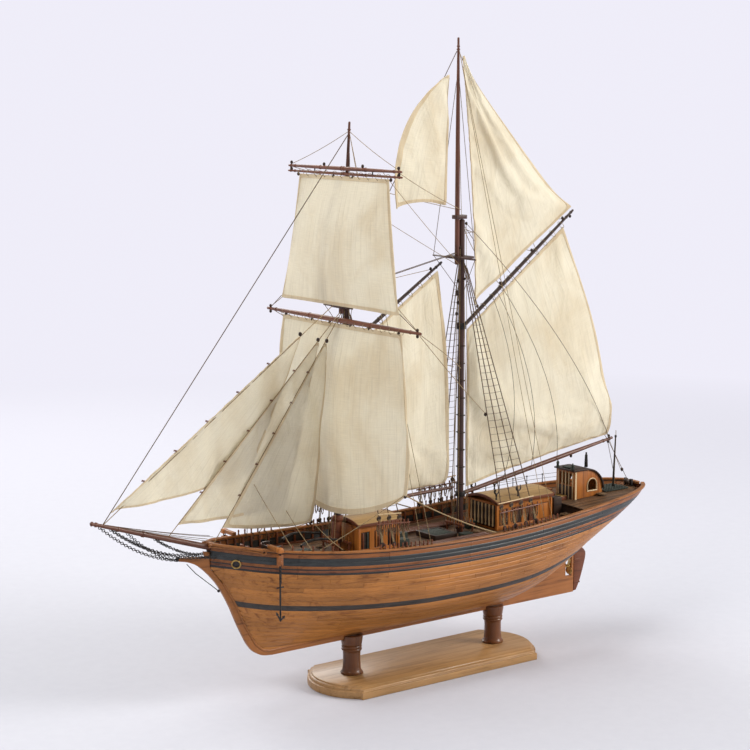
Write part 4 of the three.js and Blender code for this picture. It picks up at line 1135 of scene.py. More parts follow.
def make_shrouds(label, at, mast, feet, side, side_name):
    name = f"{label}_shrouds_{side_name}"
    head = at(mast["top"] - 3)
    tip_y = side * (mast_radius(mast, mast["top"]) + 1.3)
    tops = [(head[0] - 1.5 + 2 * k, tip_y, head[2] - 3 * k) for k in range(len(feet))]
    rails = [by_rail(x, side, 2.6) for x in feet]
    gap = DEADEYE_GAP[label] + 3
    eyes = [along(rail, top, gap / (top[2] - rail[2])) for rail, top in zip(rails, tops)]
    shrouds, thin, eye_shape, metal_work = Shape(), Shape(), Shape(), Shape()
    for rail, eye, top in zip(rails, eyes, tops):
        shrouds.tube([along(eye, top, k / 6) for k in range(7)], 0.62, 8)
        shrouds.hoop(eye, (0, 1, -0.25 * side), 2.8, 0.6, 16)
        low = along(rail, eye, 0.13)
        for place in (eye, low):
            eye_shape.lathe((place[0], place[1] - 1.1, place[2]), (place[0], place[1] + 1.1, place[2]),
                            DEADEYE, 16, tone_within(0.5))
        metal_work.hoop(low, (0, 1, 0), 2.8, 0.4, 14)
        metal_work.tube([(low[0], low[1], low[2] - 2.4), (rail[0], rail[1], rail[2] - 2)], 0.5)
        for lean in (-1.5, 0, 1.5):
            thin.tube([(eye[0] + lean, eye[1] + 0.6 * side, eye[2]),
                       (low[0] + lean * 0.6, low[1], low[2])], 0.36, 5)
    pole_z = 4.6
    pole = [(eye[0], eye[1] - side * 0.4, eye[2] + pole_z) for eye in (eyes[0], eyes[-1])]
    pole = [along(pole[0], pole[1], -0.10), along(pole[0], pole[1], 1.10)]
    ratlines = Shape()
    first, last = (eyes[0], tops[0]), (eyes[-1], tops[-1])
    z = eyes[0][2] + 13
    while z < tops[-1][2] - 14:
        ends = [along(low, high, (z - low[2]) / (high[2] - low[2])) for low, high in (first, last)]
        middle = along(*ends, 0.5)
        ratlines.tube([ends[0], (middle[0], middle[1], middle[2] - 0.7), ends[1]], 0.27, 5)
        for low, high in zip(eyes, tops):
            ratlines.ball(along(low, high, (z - low[2]) / (high[2] - low[2])), 0.75, 0.0)
        z += RATLINE_STEP
    piece(name + "_ropes", shrouds, BROWN_CORD, stands_for=[name], angle=80)
    piece(name + "_ratlines", ratlines, BROWN_CORD, angle=80)
    piece(name + "_lanyards", thin, TAN_CORD, angle=80)
    piece(name + "_deadeyes", eye_shape, DARK_WOOD)
    piece(name + "_chainplates", metal_work, IRON)
    piece(name + "_sheer_pole", Shape().tube(pole, 0.8, 10), PALE_WOOD)


for shroud_side, shroud_name in SIDES:
    make_shrouds("main", main_at, MAIN, MAIN_FEET, shroud_side, shroud_name)
    make_shrouds("fore", fore_at, FORE, FORE_FEET, shroud_side, shroud_name)


# ---------------------------------------------------------------- stays and running rigging
def bowsprit_at(x, lift=0.0):
    heel, end = BOWSPRIT
    return (x, 0, between(heel[2], end[2], (x - heel[0]) / (end[0] - heel[0])) + lift)


def make_standing_rigging():
    truck_fore = fore_top_at(688)
    truck_main = main_top_at(790)
    ropes("fore_topmast_stay_rope", [(bowsprit_at(-461, 1.5), truck_fore)], BROWN_CORD, 0.55,
          stands_for=["fore_topmast_stay"])
    ropes("jib_stays", [(bowsprit_at(-461, 1.0), (-129, -0.5, 491)), (bowsprit_at(-378), (-129, -1.5, 476)),
                        (bowsprit_at(-318), (-129, -1.5, 474))], TAN_CORD, 0.5)
    ropes("bowsprit_head_lines", [(bowsprit_at(-458, 2), (-318, y, rail_z(-318) + lift), 1.5)
                                  for y, lift in ((-4, 7), (4, 7), (-9, 2), (9, 2))], BROWN_CORD, 0.36)
    fore_cap = fore_at(FORE["cap"] + 2)
    ropes("main_stays", [((MAIN_X - 5, s * 2, 536), (fore_at(500)[0] + 5, s * 2, 500)) for s in (-1, 1)]
          + [((truck_main[0], 3, 787), (fore_cap[0] + 3, 3, fore_cap[2]))], BROWN_CORD, 0.5)
    backstays, spread = [], []
    for s in (-1, 1):
        backstays += [((truck_main[0], s * 2, 788), by_rail(x, s, 3)) for x in (128, 142)]
        backstays += [((truck_fore[0], s * 2, 686), by_rail(x, s, 3)) for x in (-70, -56)]
        main_tip = (MAIN_X - 12.5, s * 42, 529.5)
        fore_tip = (fore_at(478)[0] - 12.5, s * 29, 479.5)
        spread += [(main_tip, (truck_main[0], s * 1, 760)), (main_tip, (MAIN_X, s * 4.5, 486)),
                   (fore_tip, (truck_fore[0], s * 1, 664)), (fore_tip, (fore_at(450)[0], s * 4.5, 447))]
    ropes("topmast_backstays", backstays, TAN_CORD, 0.36)
    crossing_rope("main_truck_stay", (356, 12, rail_z(356) + 12), (truck_main[0] + 1, 3, 792),
                  TAN_CORD, 0.36)
    ropes("topmast_shrouds", spread, BROWN_CORD, 0.4)


def make_running_rigging():
    yard_end = FORE_YARD["half"] - 7
    top_end = TOP_YARD["half"] - 6
    for side, label in SIDES:
        yard_arm = (FORE_YARD_X, side * yard_end, 463)
        for name, a, b, radius, sag in (
                ("fore_lift", fore_top_at(560, side * 2), (FORE_YARD_X, side * yard_end, 465), 0.38, 3),
                ("fore_brace_fall", (57, side * 51, 335), yard_arm, 0.42, 2),
                ("course_sheet", by_rail(45, side, 3, 1), (-131, side * 131, 268), 0.8, 4),
                ("course_tack", by_rail(-205, side, 3, 1), (-132, side * 131, 268), 0.5, 2)):
            crossing_rope(f"{name}_{label}", a, b, TAN_CORD, radius, sag)
        crossing_rope(f"fore_brace_{label}", (MAIN_X - 6, side * 7, 388), yard_arm,
                      TAN_CORD, 0.42, 2, -side * 10)
        for name, a, reach, z, radius in (
                ("topsail_lift", fore_top_at(690, side * 1.5), top_end, 648, 0.36),
                ("topsail_brace", (MAIN_X - 6, side * 5, 590), top_end, 645, 0.38),
                ("topsail_brace_low", (MAIN_X - 6, side * 3, 520), top_end - 30, 644, 0.34)):
            crossing_rope(f"{name}_{label}", a, (TOP_YARD_X, side * reach, z),
                          TAN_CORD, radius, 2)
        corner = (FORE_YARD_X - 3, side * 124, 482)
        ropes(f"topsail_sheet_{label}", [(corner, (FORE_YARD_X, side * yard_end, 464))],
              BROWN_CORD, 0.45, "fore_yard")
        crossing_rope(f"main_topping_lift_{label}", (MAIN_X + 4, side * 4, 572),
                      (318, side * 2.2, 266), BROWN_CORD, 0.36, 0, 36 if side < 0 else 0)
        crossing_rope(f"main_sheet_{label}", (346, side * 14, rail_z(346) + 1),
                      (318, side * 1, 263), BROWN_CORD, 0.4)
        crossing_rope(f"fore_sheet_{label}", (40, side * 12, 178), (40, side * 1, 230),
                      BROWN_CORD, 0.4)
    for k, (height, share) in enumerate(((574, 0.34), (566, 0.62), (558, 0.90))):
        x, z = on_spar("main_gaff", share)
        crossing_rope(f"main_peak_halyard_{k}", (MAIN_X + 4, 4, height), (x, 2, z + 3),
                      TAN_CORD, 0.4, 0, -12)
    for k, (height, share) in enumerate(((508, 0.45), (500, 0.88))):
        x, z = on_spar("fore_gaff", share)
        crossing_rope(f"fore_peak_halyard_{k}", (fore_at(height)[0] + 4, 1, height),
                      (x, 1, z + 3), TAN_CORD, 0.4)


def make_lazy_lines():
    """Slack lines from the main gaff to the boom that hang clear of the sail's port side."""
    bow = 130
    (boom_start, low), (boom_end, high) = SWINGING["main_boom"]
    shape = Shape()
    for share, foot in ((0.26, 128), (0.30, 176), (0.34, 222)):
        x, z = on_spar("main_gaff", share)
        foot_z = between(low, high, (foot - boom_start) / (boom_end - boom_start))
        points = []
        for k in range(13):
            t = k / 12
            px, py, pz = along((x, -2.6, z), (foot, -3.0, foot_z), t)
            points.append((px, py - bow * t * (1 - t), pz))
        shape.tube(points, 0.36, 6)
    piece("main_lazy_lines", shape, BROWN_CORD, "main_gaff", angle=80)


def make_halyards():
    """Falls that come down each mast to the pins round its foot."""
    falls, blocks = [], Shape()
    for at, base, tops in ((main_at, 186, (520, 560, 480, 540, 500, 570)),
                           (fore_at, 190, (470, 500, 440, 476, 490, 450))):
        for k, top in enumerate(tops):
            angle = 2 * math.pi * (k + 0.5) / len(tops)
            dx, dy = math.cos(angle), math.sin(angle)
            high, low = at(top), at(base)
            falls.append(((high[0] + 5.5 * dx, 5.5 * dy, top), (low[0] + 9 * dx, 13 * dy, base)))
            add_block(blocks, (high[0] + 5.6 * dx, 5.6 * dy, top + 2), 3.0)
    ropes("halyard_falls", falls, TAN_CORD, 0.36)
    for y, z in ((0, 486), (-2.4, 482), (2.4, 480)):
        add_block(blocks, (fore_at(z)[0] - 8, y, z), 4.2)
    for k in range(5):
        add_block(blocks, (MAIN_X - 8 - 2 * (k % 2), -3, 500 - 14 * k), 3.6)
    for y in (-51, 51):
        add_block(blocks, (57, y, 334), 3.6)
    piece("mast_blocks", blocks, DARK_WOOD)
    on_fore_yard = ((154, 459), (154, 466), (60, 458), (22, 458), (118, 459))
    on_topsail_yard = ((111, 650), (111, 642), (40, 650), (96, 636), (20, 636))
    on_main_gaff = ((0.34, 4), (0.62, 4), (0.90, 4), (0.14, 5), (0.97, -4))
    gaff_places = [(on_spar("main_gaff", share), lift) for share, lift in on_main_gaff]
    for body, places in (
            ("fore_yard", [(FORE_YARD_X, s * y, z) for s in (-1, 1) for y, z in on_fore_yard]),
            ("topsail_yard", [(TOP_YARD_X, s * y, z) for s in (-1, 1) for y, z in on_topsail_yard]),
            ("main_gaff", [(x, 0, z + lift) for (x, z), lift in gaff_places]),
            ("fore_gaff", [(between(-124, 26, r), 0, between(427, 525, r) + 4) for r in (0.45, 0.88)]),
            ("main_boom", [(318, 0, 262), (319, 0, 270), (250, 0, 250)])):
        shape = Shape()
        for place in places:
            add_block(shape, place, 3.2)
        piece(body + "_blocks", shape, DARK_WOOD, body)


def make_lacing():
    """Loops that bend the sails to their gaffs and yards, and hanks that run on the stays."""
    for body, start, end, count, slope, radius in (
            ("main_gaff", (MAIN_X + 8, 445), (240, 577), 12, 0.78, 5.0),
            ("fore_gaff", (-118, 431), (22, 521), 9, 0.65, 4.6)):
        loops = Shape()
        for k in range(1, count):
            x, z = along(start, end, k / count)
            loops.hoop((x, 0, z - 3.0), (1, 0, slope), radius, 0.32, 16, 5)
        piece(body + "_lacing", loops, TAN_CORD, body)
    for body, x, z, half, count in (("fore_yard", FORE_YARD_X, 460.2, 122, 15),
                                    ("topsail_yard", TOP_YARD_X, 638.2, 90, 11)):
        loops = Shape()
        for k in range(count):
            loops.hoop((x, between(-half, half, k / (count - 1)), z), (0.1, 1, 0), 4.0, 0.32, 14, 5)
        piece(body + "_lacing", loops, TAN_CORD, body)
    hanks = Shape()
    for name in ("flying_jib", "jib", "fore_staysail"):
        a, d = SAILS[name]["corners"][0], SAILS[name]["corners"][3]
        for k in range(1, 6):
            x, y, z = along(d, a, k / 6)
            hanks.hoop((x - 1.0, y, z + 1.4), (0.5, 0.2, 0.6), 1.7, 0.4, 10, 5)
            hanks.tube([(x - 4.0, y - 1.5, z + 1.5), (x + 1.5, y + 1.5, z + 1.5)], 0.45)
    piece("stay_hanks", hanks, RED_WOOD)


def make_jib_sheets():
    clews = (((-262, 11, 291), -236), ((-214, 9, 247), -214), ((-176, -2, 219), -176))
    runs = [(clew, by_rail(foot, side, 4, 1), 2) for side in (-1, 1) for clew, foot in clews]
    ropes("jib_sheets", runs, TAN_CORD, 0.45)
    blocks = Shape()
    for place in ((-262, 11, 290), (-214, 9, 246), (-176, -2, 218), (-131, -131, 266), (-131, 131, 266)):
        add_block(blocks, place, 3.0)
    for place in ((-190, 0, 450), (-164, 0, 441), (-152, -1, 439)):
        add_block(blocks, place, 3.9)
    piece("sheet_blocks", blocks, DARK_WOOD)


def hawse_axis(side, start, end):
    """Two points along the planking's outward direction at the hawse hole."""
    x, z = -297, rail_z(-297) - 22
    y = half_breadth(x, z)
    lean = Vector((half_breadth(x - 2, z) - half_breadth(x + 2, z), 4,
                   half_breadth(x, z - 2) - half_breadth(x, z + 2))).normalized()
    return [(x + lean.x * d, side * (y + lean.y * d), z + lean.z * d) for d in (start, end)]


def make_bow_chains():
    chains = Shape()
    add_chain(chains, sagged(bowsprit_at(-466, -2), (-366, 0, 198), 9, 12))
    add_chain(chains, sagged(bowsprit_at(-430, -2.5), (-362, 0, 197), 7, 12))
    for side in (-1, 1):
        add_chain(chains, sagged(bowsprit_at(-452, -2), (-326, side * 9, 198), 12, 16))
        add_chain(chains, sagged(bowsprit_at(-395, -3), (-318, side * 13, 196), 6, 12), 2.6, 0.4)
    piece("bow_chains", chains, IRON, angle=60)
    for side, label in SIDES:
        cable, fish = Shape(), Shape()
        x, y, z = -262, side * 61.5, rail_z(-262) - 2.5
        add_chain(cable, [(x, y - 1.6, z - 12), (x, y - 1.6, z - 34)], 2.0, 0.4)
        cable.tube([(x, y, z - 13), (x, y, z - 36)], 0.6)
        fish.block((x - 3.8, y - 1.9, z - 13.5), (x + 3.8, y + 1.9, z - 0.6))
        fish.lathe((x, y - 2.6, z - 9), (x, y + 2.6, z - 9), [(0, 0), (2.2, 0), (2.2, 5.2), (0, 5.2)], 14)
        piece(f"anchor_cable_{label}", cable, IRON, f"anchor_{label}", angle=60)
        piece(f"anchor_tackle_{label}", fish, BROWN_STRAKE, f"anchor_{label}", bevel=0.6)
    wire = Shape()
    wire.tube([(-352, 0, 191), (-340, 0, 178), (-322, 0, 163), (-309, 0, 152)], 0.5)
    wire.ball((-364, 0, 199), 3.0)
    wire.ball((-309, 0, 152), 1.8)
    for side in (-1, 1):
        wire.lathe(*hawse_axis(side, -2.0, 0.35), [(0, 0), (5.0, 0), (5.0, 2.3), (0, 2.3)], 24)
    piece("bow_ironwork", wire, IRON)
    rings = Shape()
    for side in (-1, 1):
        centre, outward = (Vector(p) for p in hawse_axis(side, 0.6, 1.6))
        rings.hoop(centre, outward - centre, 5.2, 0.95, 28, 8)
    piece("hawse_rings", rings, BRASS)


make_standing_rigging()
make_running_rigging()
make_lazy_lines()
make_halyards()
make_lacing()
make_jib_sheets()
make_bow_chains()


# ---------------------------------------------------------------- deckhouses
def house_walls(node, x0, x1, half, top, panels, boards):
    """The CAD house with corner posts, a plinth and eave moulding, and boards in its recesses.

    Each row of boards holds (offset, width, finish) for the boards of one recess.
    """
    polish(node, CABIN_WOOD, 0.25)
    trim, dark = Shape(), Shape()
    low = deck_z((x0 + x1) / 2) - 0.5
    for x in (x0, x1):
        for side in (-1, 1):
            trim.block((x - 1.3, side * half - 1.3, low), (x + 1.3, side * half + 1.3, top - 0.4), 0.2)
    for z, high, out in ((low, 3.2, 1.0), (top - 3, 2.6, 0.9)):
        for side in (-1, 1):
            trim.block((x0, side * half, z), (x1, side * (half + out), z + high))
        trim.block((x0 - out, -half, z), (x0, half, z + high))
        trim.block((x1, -half, z), (x1 + out, half, z + high))
    pitch = (x1 - x0) / panels
    coloured = {}
    for k in range(panels):
        x = x0 + pitch * (k + 0.5)
        for side in (-1, 1):
            wide = pitch * 0.31
            dark.block((x - wide, side * (half - 1.0), top - 29.5),
                       (x + wide, side * (half - 0.7), top - 8.4))
            for offset, width, finish in boards[k % len(boards)]:
                shape = coloured.setdefault(finish.name, (Shape(), finish))[0]
                left = x + offset - width / 2
                shape.block((left, side * (half - 0.8), top - 29),
                            (left + width, side * (half + 0.35), top - 9), tone_within(0.4))
    piece(node + "_trim", trim, CABIN_WOOD, bevel=0.3)
    piece(node + "_openings", dark, DARK_WOOD)
    for finish_name, (shape, finish) in coloured.items():
        piece(f"{node}_boards_{finish_name}", shape, finish, bevel=0.2)


def planked_roof(node, x0, x1, half, eave, crown):
    """Narrow boards over the camber, with a dark moulding round the edge."""
    boards, edge = Shape(), Shape()
    count = 13
    width = 2 * (half - 1.2) / count

    def surface(y):
        return eave + (crown - eave) * (1 - (y / half) ** 2)

    for k in range(count):
        a = -half + 1.2 + k * width + 0.12
        b = a + width - 0.24
        boards.loft([[(x, a, surface(a)), (x, b, surface(b)), (x, b, surface(b) + 2.0), (x, (a + b) / 2,
                      surface((a + b) / 2) + 2.2), (x, a, surface(a) + 2.0)] for x in (x0 + 1.2, x1 - 1.2)],
                    tone_within(0.5))
    ys = [half * (k / 8 - 1) for k in range(17)]
    for x in (x0, x1 - 1.6):
        edge.loft([[(x, y, surface(y) - 1.4), (x + 1.6, y, surface(y) - 1.4), (x + 1.6, y, surface(y) + 2.5),
                    (x, y, surface(y) + 2.5)] for y in ys])
    for side in (-1, 1):
        edge.block((x0, side * half, eave - 1.4), (x1, side * (half - 1.5), eave + 2.5))
    piece(node + "_boards", boards, ROOF_WOOD, stands_for=[node])
    piece(node + "_edge", edge, RED_WOOD, bevel=0.25)


def make_houses():
    fore_boards = [[(-3.4, 2.6, RED_WOOD), (3.2, 2.2, GREEN_TARP)],
                   [(-3.6, 2.4, CABIN_WOOD), (0.4, 2.0, RED_STRIPE)],
                   [(-2.8, 2.0, RED_STRIPE), (2.2, 3.0, RED_WOOD)]]
    house_walls("fore_deckhouse", -121, -60, 24, 208, 3, fore_boards)
    main_boards = [[(-4.5, 3.0, CABIN_WOOD), (1.5, 3.0, CABIN_WOOD)], [(-3.0, 3.2, CABIN_WOOD)],
                   [(0, 6.0, RED_WOOD)], [(-1.0, 14.0, CABIN_WOOD)]]
    house_walls("main_deckhouse", 97, 190, 28, 208.5, 4, main_boards)
    planked_roof("fore_deckhouse_roof", -125, -56, 27.5, 208.4, 214)
    planked_roof("main_deckhouse_roof", 93, 194, 31.5, 209, 215.5)

    front, back = Shape(), Shape()
    for k in range(7):
        y = -22 + k * 22 / 3
        front.post((95.3, y, 178), [(0, 0), (1.1, 0), (1.2, 2), (0.8, 3.5), (1.25, 9), (0.8, 17), (0.75, 22),
                                    (1.2, 25), (1.1, 28), (0, 28)], 12, tone_within(0.3))
    back.block((96.0, -25, 176), (96.9, 25, 206))
    piece("deckhouse_balusters", front, PALE_WOOD)
    piece("deckhouse_dark_front", back, DARK_WOOD)

    scroll = Shape()
    for x in (99, 136):
        for y in (-24, 24):
            z = 213.5
            scroll.post((x, y, z - 2), [(0, 0), (1.8, 0), (1.4, 2), (0.8, 5), (1.5, 8.5), (0, 9.5)], 12)
            curl = [(x + r * math.cos(a + 2.2), y, z + 11 + r * math.sin(a + 2.2))
                    for a, r in ((k * 0.45, 2.2 + k * 0.45 * 0.55) for k in range(12))]
            scroll.tube(curl, [1.5 - k * 0.07 for k in range(12)], 8)
    piece("roof_cowls", scroll, IRON)

    polish("companion", DARK_WOOD, 0.4)
    polish("skylight", RED_WOOD, 0.4)
    polish("cargo_hatch", DARK_WOOD, 0.35)
    tops = Shape()
    for k in range(7):
        tops.block((5.4 + k * 4.2, -16.6, 175.4), (9.2 + k * 4.2, 16.6, 177.4), tone_within(0.4))
    piece("hatch_boards", tops, GREEN_TARP, bevel=0.4)
    glass_bars = Shape()
    for k in range(5):
        y = -7.4 + k * 3.7
        glass_bars.block((221.4, y - 0.35, 197.6), (236.6, y + 0.35, 199.0))
    piece("skylight_bars", glass_bars, BRASS, bevel=0.15)
    box = Shape()
    box.block((216, 22, deck_z(225) - 0.5), (236, 44, deck_z(225) + 9), 0.3)
    box.block((215.4, 21.4, deck_z(225) + 9), (236.6, 44.6, deck_z(225) + 10.4), -0.2)
    piece("deck_locker", box, CABIN_WOOD, bevel=0.35)


LANTERN = [(0, 0), (2.2, 0), (2.4, 1), (1.7, 2), (1.9, 5), (2.3, 6), (1, 7.6), (0.6, 9), (0, 9.4)]


def make_wheelhouse():
    polish("wheelhouse", CABIN_WOOD, 0.3)
    polish("wheelhouse_roof", DARK_WOOD, 0.4)
    polish("wheel_pedestal", RED_WOOD, 0.3)
    polish("stovepipe", IRON, 0.2)
    trim = Shape()
    for side in (-1, 1):
        y = side * 18.3
        arch = [(264, y, 203), (264, y, 211)]
        arch += [(272.5 - 8.5 * math.cos(a), y, 211 + 8.5 * math.sin(a)) for a in
                 (math.pi * k / 12 for k in range(1, 12))]
        arch += [(281, y, 211), (281, y, 203)]
        trim.tube(arch, 0.9, 8)
        trim.tube([(263.4, y, 202.6), (281.6, y, 202.6)], 1.0, 8)
        trim.block((241.4, y - side * 0.6, 190), (244, y + side * 0.8, 231), 0.3)
    piece("wheelhouse_arch", trim, PALE_WOOD)
    slats = Shape()
    for y in (-14.5, -6.8, -0.3, 6.2, 14.0):
        slats.block((240.2, y - 1.0, 190), (241.2, y + 1.0, 230), tone_within(0.3))
    piece("wheelhouse_slats", slats, PALE_WOOD, bevel=0.25)
    dark = Shape().block((240.5, -16, 190), (240.95, 16, 211))
    piece("wheelhouse_front_panel", dark, DARK_WOOD, bevel=0.1)
    lamp = Shape()
    for y in (-15, 15):
        lamp.post((240, y, 234), LANTERN, 14)
    lamp.block((242, -8, 234), (250, 8, 235.6))
    piece("wheelhouse_lamps", lamp, GREEN_TARP, bevel=0.15)

    wheel = Shape()
    hub_x, hub_z = 262, 209
    wheel.hoop((hub_x, 0, hub_z), (1, 0, 0), 7.0, 0.75, 32, 8)
    wheel.hoop((hub_x, 0, hub_z), (1, 0, 0), 3.4, 0.4, 24, 6)
    wheel.lathe((hub_x - 2, 0, hub_z), (hub_x + 4, 0, hub_z),
                [(0, 0), (1.2, 0.1), (1.6, 0.6), (1.6, 3.2), (1, 3.6), (1, 6), (0, 6)], 16)
    spoke = [(0, 0), (0.45, 0.5), (0.6, 3), (0.4, 5.6), (0.4, 7.2), (0.62, 8.3), (0.3, 9.4), (0, 9.45)]
    for k in range(8):
        a = k * math.pi / 4
        tip = (hub_x, 9.4 * math.cos(a), hub_z + 9.4 * math.sin(a))
        wheel.lathe((hub_x, 0, hub_z), tip, spoke, 8)
    piece("steering_wheel_turned", wheel, BRASS, "steering_wheel", ["steering_wheel"])
    polish("propeller", BRASS, 0.2)


make_houses()
make_wheelhouse()


# ---------------------------------------------------------------- deck gear
PIN = [(0, -5), (0.5, -4.6), (0.6, 0), (0.95, 0.2), (1.0, 1.0), (0.8, 2.6), (1.15, 4.6), (0.9, 6), (0, 6.6)]


def hang_coil(coils, x, y, top, inward, widths, heights):
    """Three loops of one hank of line hanging side by side under a pin or a rack."""
    for loop in range(3):
        wide = random.uniform(*widths)
        high = random.uniform(*heights)
        centre = (x + random.uniform(-0.7, 0.7), y + inward * (1.2 + loop * 0.5), top - high / 2)
        points = [(centre[0] + wide * math.sin(a), centre[1], centre[2] + high / 2 * math.cos(a))
                  for a in (2 * math.pi * k / 14 for k in range(15))]
        coils.tube(points, 0.38, 5)


def make_pins():
    pins, coils = Shape(), Shape()
    spots = [by_rail(x, side, 1.2) for side in (-1, 1)
             for x in (*range(-128, -52, 6), *range(58, 150, 7), *range(-250, -180, 12))]
    for x, y, z in spots:
        pins.post((x, y, z), PIN, 10, tone_within(0.5))
        if random.random() < 0.9:
            hang_coil(coils, x, y, z + 1, -1 if y > 0 else 1, (1.3, 2.3), (7, 13))
    for side in (-1, 1):
        for label, feet in (("fore", FORE_FEET), ("main", MAIN_FEET)):
            height = DEADEYE_GAP[label] - 3
            rack = [by_rail(x, side, 5.2, height) for x in (feet[0] - 7, feet[-1] + 7)]
            pins.tube(rack, 0.9, 8)
            for k in range(8):
                x, y, z = along(rack[0], rack[1], (k + 0.5) / 8)
                pins.post((x, y, z - 2), PIN, 8, tone_within(0.5))
                hang_coil(coils, x, y, z, -side, (1.2, 2.2), (9, 18))
    piece("belaying_pins", pins, RED_WOOD)
    piece("rope_coils", coils, COIL_CORD, angle=80)


def make_fife_rails():
    wood_work, pins = Shape(), Shape()
    for at, z in ((main_at, 184), (fore_at, 187)):
        x0 = at(z)[0]
        floor = deck_z(x0) - 1
        post = [(0, 0), (1.6, 0), (1.6, 3), (1.1, 4), (1.5, 8), (1.1, 11), (1.6, z - floor), (0, z - floor)]
        for dx in (-9, 9):
            for dy in (-15, 15):
                wood_work.post((x0 + dx, dy, floor), post)
            wood_work.block((x0 + dx - 1.8, -18, z - 1), (x0 + dx + 1.8, 18, z + 1.6))
            for k in range(6):
                y = -14 + k * 5.6
                pins.post((x0 + dx, y, z + 1), PIN, 10, tone_within(0.5))
    piece("fife_rails", wood_work, RED_WOOD, bevel=0.3)
    piece("fife_pins", pins, RAIL_WOOD)


def make_guard_rail():
    """Ball-topped stanchions with two wires along the starboard quarter."""
    rail = Shape()
    stanchion = [(0, 0), (1.1, 0), (0.6, 1), (0.5, 5), (0.8, 5.6), (0.5, 6.2), (0.5, 10), (1.1, 10.8),
                 (1.1, 11.8), (0, 12.6)]
    places = [by_rail(x, 1, 1.4) for x in (150, 172, 194, 216, 238, 262, 286)]
    for x, y, z in places:
        rail.post((x, y, z), stanchion, 10)
    for lift in (5.6, 11.2):
        for a, b in zip(places, places[1:]):
            rail.tube([(a[0], a[1], a[2] + lift), (b[0], b[1], b[2] + lift)], 0.28, 5)
    piece("quarterdeck_guard_rail", rail, IRON)


def make_bow_gear():
    """Cathead caps, bollards, bitts and two curved irons on the fore deck."""
    x = -262
    z = rail_z(x)
    gear, timber, bitts = Shape(), Shape(), Shape()
    bollard = [(0, 0), (1.3, 0), (1.0, 1), (0.9, 5), (1.4, 6), (1.2, 7.2), (0, 7.4)]
    for side in (-1, 1):
        timber.block((x - 3.4, side * 58, z - 0.4), (x + 3.4, side * 65, z + 5.4))
        gear.hoop((x, side * 61.5, z - 1.2), (1, 0, 0), 2.4, 0.5, 16)
        for bx in (-300, -285, -200):
            y = side * (rail_half(bx) - 9)
            for dx in (-2.2, 2.2):
                gear.post((bx + dx, y, deck_z(bx)), bollard)
    for y in (-22, 20):
        foot = rail_z(-205) - 2
        curve = [(-205 + k * 6.2, y + 4 * math.sin(k * 0.7), foot + 5 * math.sin(k / 9 * math.pi))
                 for k in range(10)]
        gear.tube(curve, [1.9 - 0.08 * k for k in range(10)], 10)
    deck = deck_z(-272)
    for y in (-6, 6):
        bitts.block((-274, y - 1.8, deck - 1), (-270, y + 1.8, deck + 15))
    bitts.block((-274.6, -11, deck + 8), (-271, 11, deck + 11))
    piece("bow_bitts", bitts, RED_WOOD, bevel=0.35)
    piece("cathead_caps", timber, CABIN_WOOD, bevel=0.8)
    piece("deck_bollards", gear, IRON)


def make_stern_gear():
    """The reel's stand, a grating, the ensign's halyard and two blocks."""
    stand, grating, blocks = Shape(), Shape(), Shape()
    for y in (-6.6, 6.6):
        stand.block((356.4, y - 0.7, deck_z(358) - 1), (359.6, y + 0.7, deck_z(358) + 10))
    piece("reel_stand", stand, IRON, bevel=0.2)
    deck = deck_z(318)
    for k in range(9):
        grating.block((300 + k * 5, -16, deck + 0.5), (302 + k * 5, 16, deck + 2.6))
    for k in range(7):
        grating.block((299, -15 + k * 5 - 0.8, deck + 0.7), (343, -15 + k * 5 + 0.8, deck + 2.4))
    piece("stern_grating", grating, GREEN_TARP, bevel=0.15)
    foot = deck_z(330) + 6
    ropes("ensign_halyard", [((332.5, 0.8, 276), (330, 3, foot)), ((332.5, -0.8, 276), (328, -3, foot))],
          TAN_CORD, 0.25)
    for place in ((306, 6, 300), (352, 7, 218)):
        add_block(blocks, place, 3.6)
    piece("stern_blocks", blocks, DARK_WOOD)


def make_waist_gear():
    """Spare spars on their chocks, flaked lines, the foremast's casing and the small hatches."""
    spare, flakes, casing, hatches = Shape(), Shape(), Shape(), Shape()
    for side in (-1, 1):
        for y in (34, 40, 46):
            spare.tube([(-40, side * y, deck_z(-40) + 3), (74, side * (y - 2), deck_z(74) + 3)], 1.9, 12,
                       tone_within(0.4))
        for x in (-30, 18, 62):
            spare.block((x - 1.5, side * 30, deck_z(x) - 1), (x + 1.5, side * 50, deck_z(x) + 1.6), 0.3)
    piece("spare_spars", spare, SPAR_LONG)
    for x, y in ((-212, 14), (-252, -8), (-140, 30), (-146, -22), (-52, -34), (-48, 22), (28, -40),
                 (80, -32), (84, 26), (72, -14), (206, 14), (210, -34), (286, -22), (292, 14)):
        floor = deck_z(x) + CAMBER * (1 - abs(y) / 60) + 0.9
        for ring in range(5):
            flakes.hoop((x, y, floor + 0.35 * (ring % 2)), (0, 0, 1), 6.4 - 1.15 * ring, 0.62, 20, 5)
    piece("deck_coils", flakes, COIL_CORD, angle=80)
    low, high = fore_at(deck_z(-124) - 1), fore_at(221)
    tall = high[2] - low[2]
    casing.lathe(low, high, [(0, 0), (7.4, 0), (6.4, 2), (5.7, 4), (5.5, tall - 8), (6.6, tall - 6.5),
                             (7.0, tall - 4), (6.2, tall - 1), (4.6, tall), (0, tall)], 24)
    piece("fore_mast_casing", casing, RED_WOOD)
    for x, y, size, high in ((-44, -8, 9, 8), (-30, 10, 7, 11), (46, -27, 8, 7), (84, 10, 7, 9),
                             (-188, 0, 10, 6)):
        z = deck_z(x)
        hatches.block((x - size, y - size * 0.7, z - 1), (x + size, y + size * 0.7, z + high),
                      tone_within(0.5))
    piece("deck_hatches", hatches, GREEN_TARP, bevel=0.5)


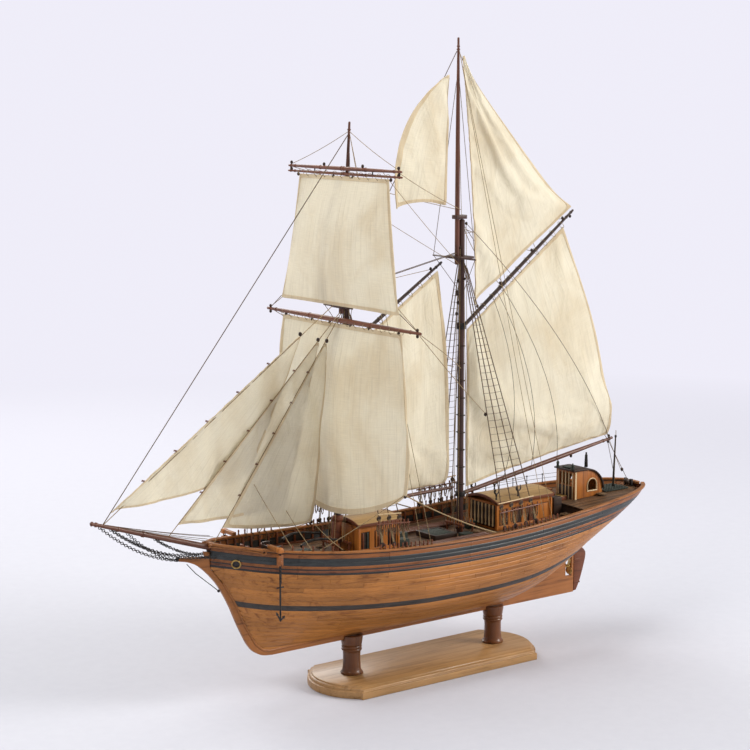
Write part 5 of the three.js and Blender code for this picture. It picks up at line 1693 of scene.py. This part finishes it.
for gear_node, gear_finish in (
        ("windlass_frame", DARK_WOOD), ("windlass_barrel", RED_WOOD), ("cathead_port", RAIL_WOOD),
        ("cathead_starboard", RAIL_WOOD), ("anchor_port", IRON), ("anchor_starboard", IRON),
        ("ensign_staff", IRON), ("stern_reel", DARK_WOOD)):
    polish(gear_node, gear_finish, 0.25)
make_pins()
make_fife_rails()
make_guard_rail()
make_bow_gear()
make_stern_gear()
make_waist_gear()

# ---------------------------------------------------------------- floor and light
def make_stage():
    slab = Shape().block((-9000, -9000, -20), (9000, 9000, -0.05))
    floor = piece("floor", slab, studio_floor(), body=None)
    world = bpy.data.worlds.new("studio")
    bpy.context.scene.world = world
    world.use_nodes = True
    bpy.context.scene.view_settings.view_transform = "Standard"
    world.node_tree.nodes["Background"].inputs["Color"].default_value = (1.0, 0.985, 0.96, 1)
    world.node_tree.nodes["Background"].inputs["Strength"].default_value = 0.36
    backdrop = piece("backdrop", Shape().ball((0, 0, 0), 8800), glow("backdrop_white"), body=None)
    backdrop.visible_diffuse = backdrop.visible_glossy = backdrop.visible_transmission = False
    backdrop.visible_shadow = False
    for name, place, size, power in (
            ("key", (2100, -2000, 1500), 1.3, 86), ("front", (-2300, -300, 2300), 1.5, 36),
            ("top", (-200, 500, 2900), 1.6, 27), ("back", (300, 2400, 1500), 1.6, 40)):
        light = bpy.data.lights.new(name, "AREA")
        light.size = size
        light.energy = power
        light.color = (1.0, 0.97, 0.925)
        lamp = bpy.data.objects.new(name, light)
        lamp.location = Vector(place) * MM
        lamp.rotation_euler = (Vector((0, 0, 0.35)) - lamp.location).to_track_quat("-Z", "Y").to_euler()
        bpy.context.scene.collection.objects.link(lamp)


def glow(name):
    """The studio's even white behind the floor."""
    shader = Shader(name)
    white = shader.node("Emission", {"Color": (*STUDIO_WHITE, 1)})
    shader.link(white.outputs[0], shader.output.inputs["Surface"])
    return shader.material


def studio_floor():
    """Matt paper near the stand that fades into the studio's even white further out."""
    shader = Shader("studio_floor")
    paper = shader.noise((60, 60, 60), 3)
    colour = shader.ramp(paper, [(0.3, (0.57, 0.585, 0.665)), (0.7, (0.59, 0.605, 0.685))])
    shader.finish(colour, 0.85, paper, 0.05)
    place = shader.node("TexCoord").outputs[OBJECT_SPACE]
    away = shader.node("VectorMath", {0: place}, operation="LENGTH").outputs["Value"]
    white = shader.node("Emission", {"Color": (*STUDIO_WHITE, 1)})
    blend = shader.node("MixShader", {"Fac": shader.value(away, 0, 1, 0.5, 2.6)})
    shader.link(shader.surface.outputs[0], blend.inputs[1])
    shader.link(white.outputs[0], blend.inputs[2])
    shader.link(blend.outputs[0], shader.output.inputs["Surface"])
    return shader.material


make_stage()
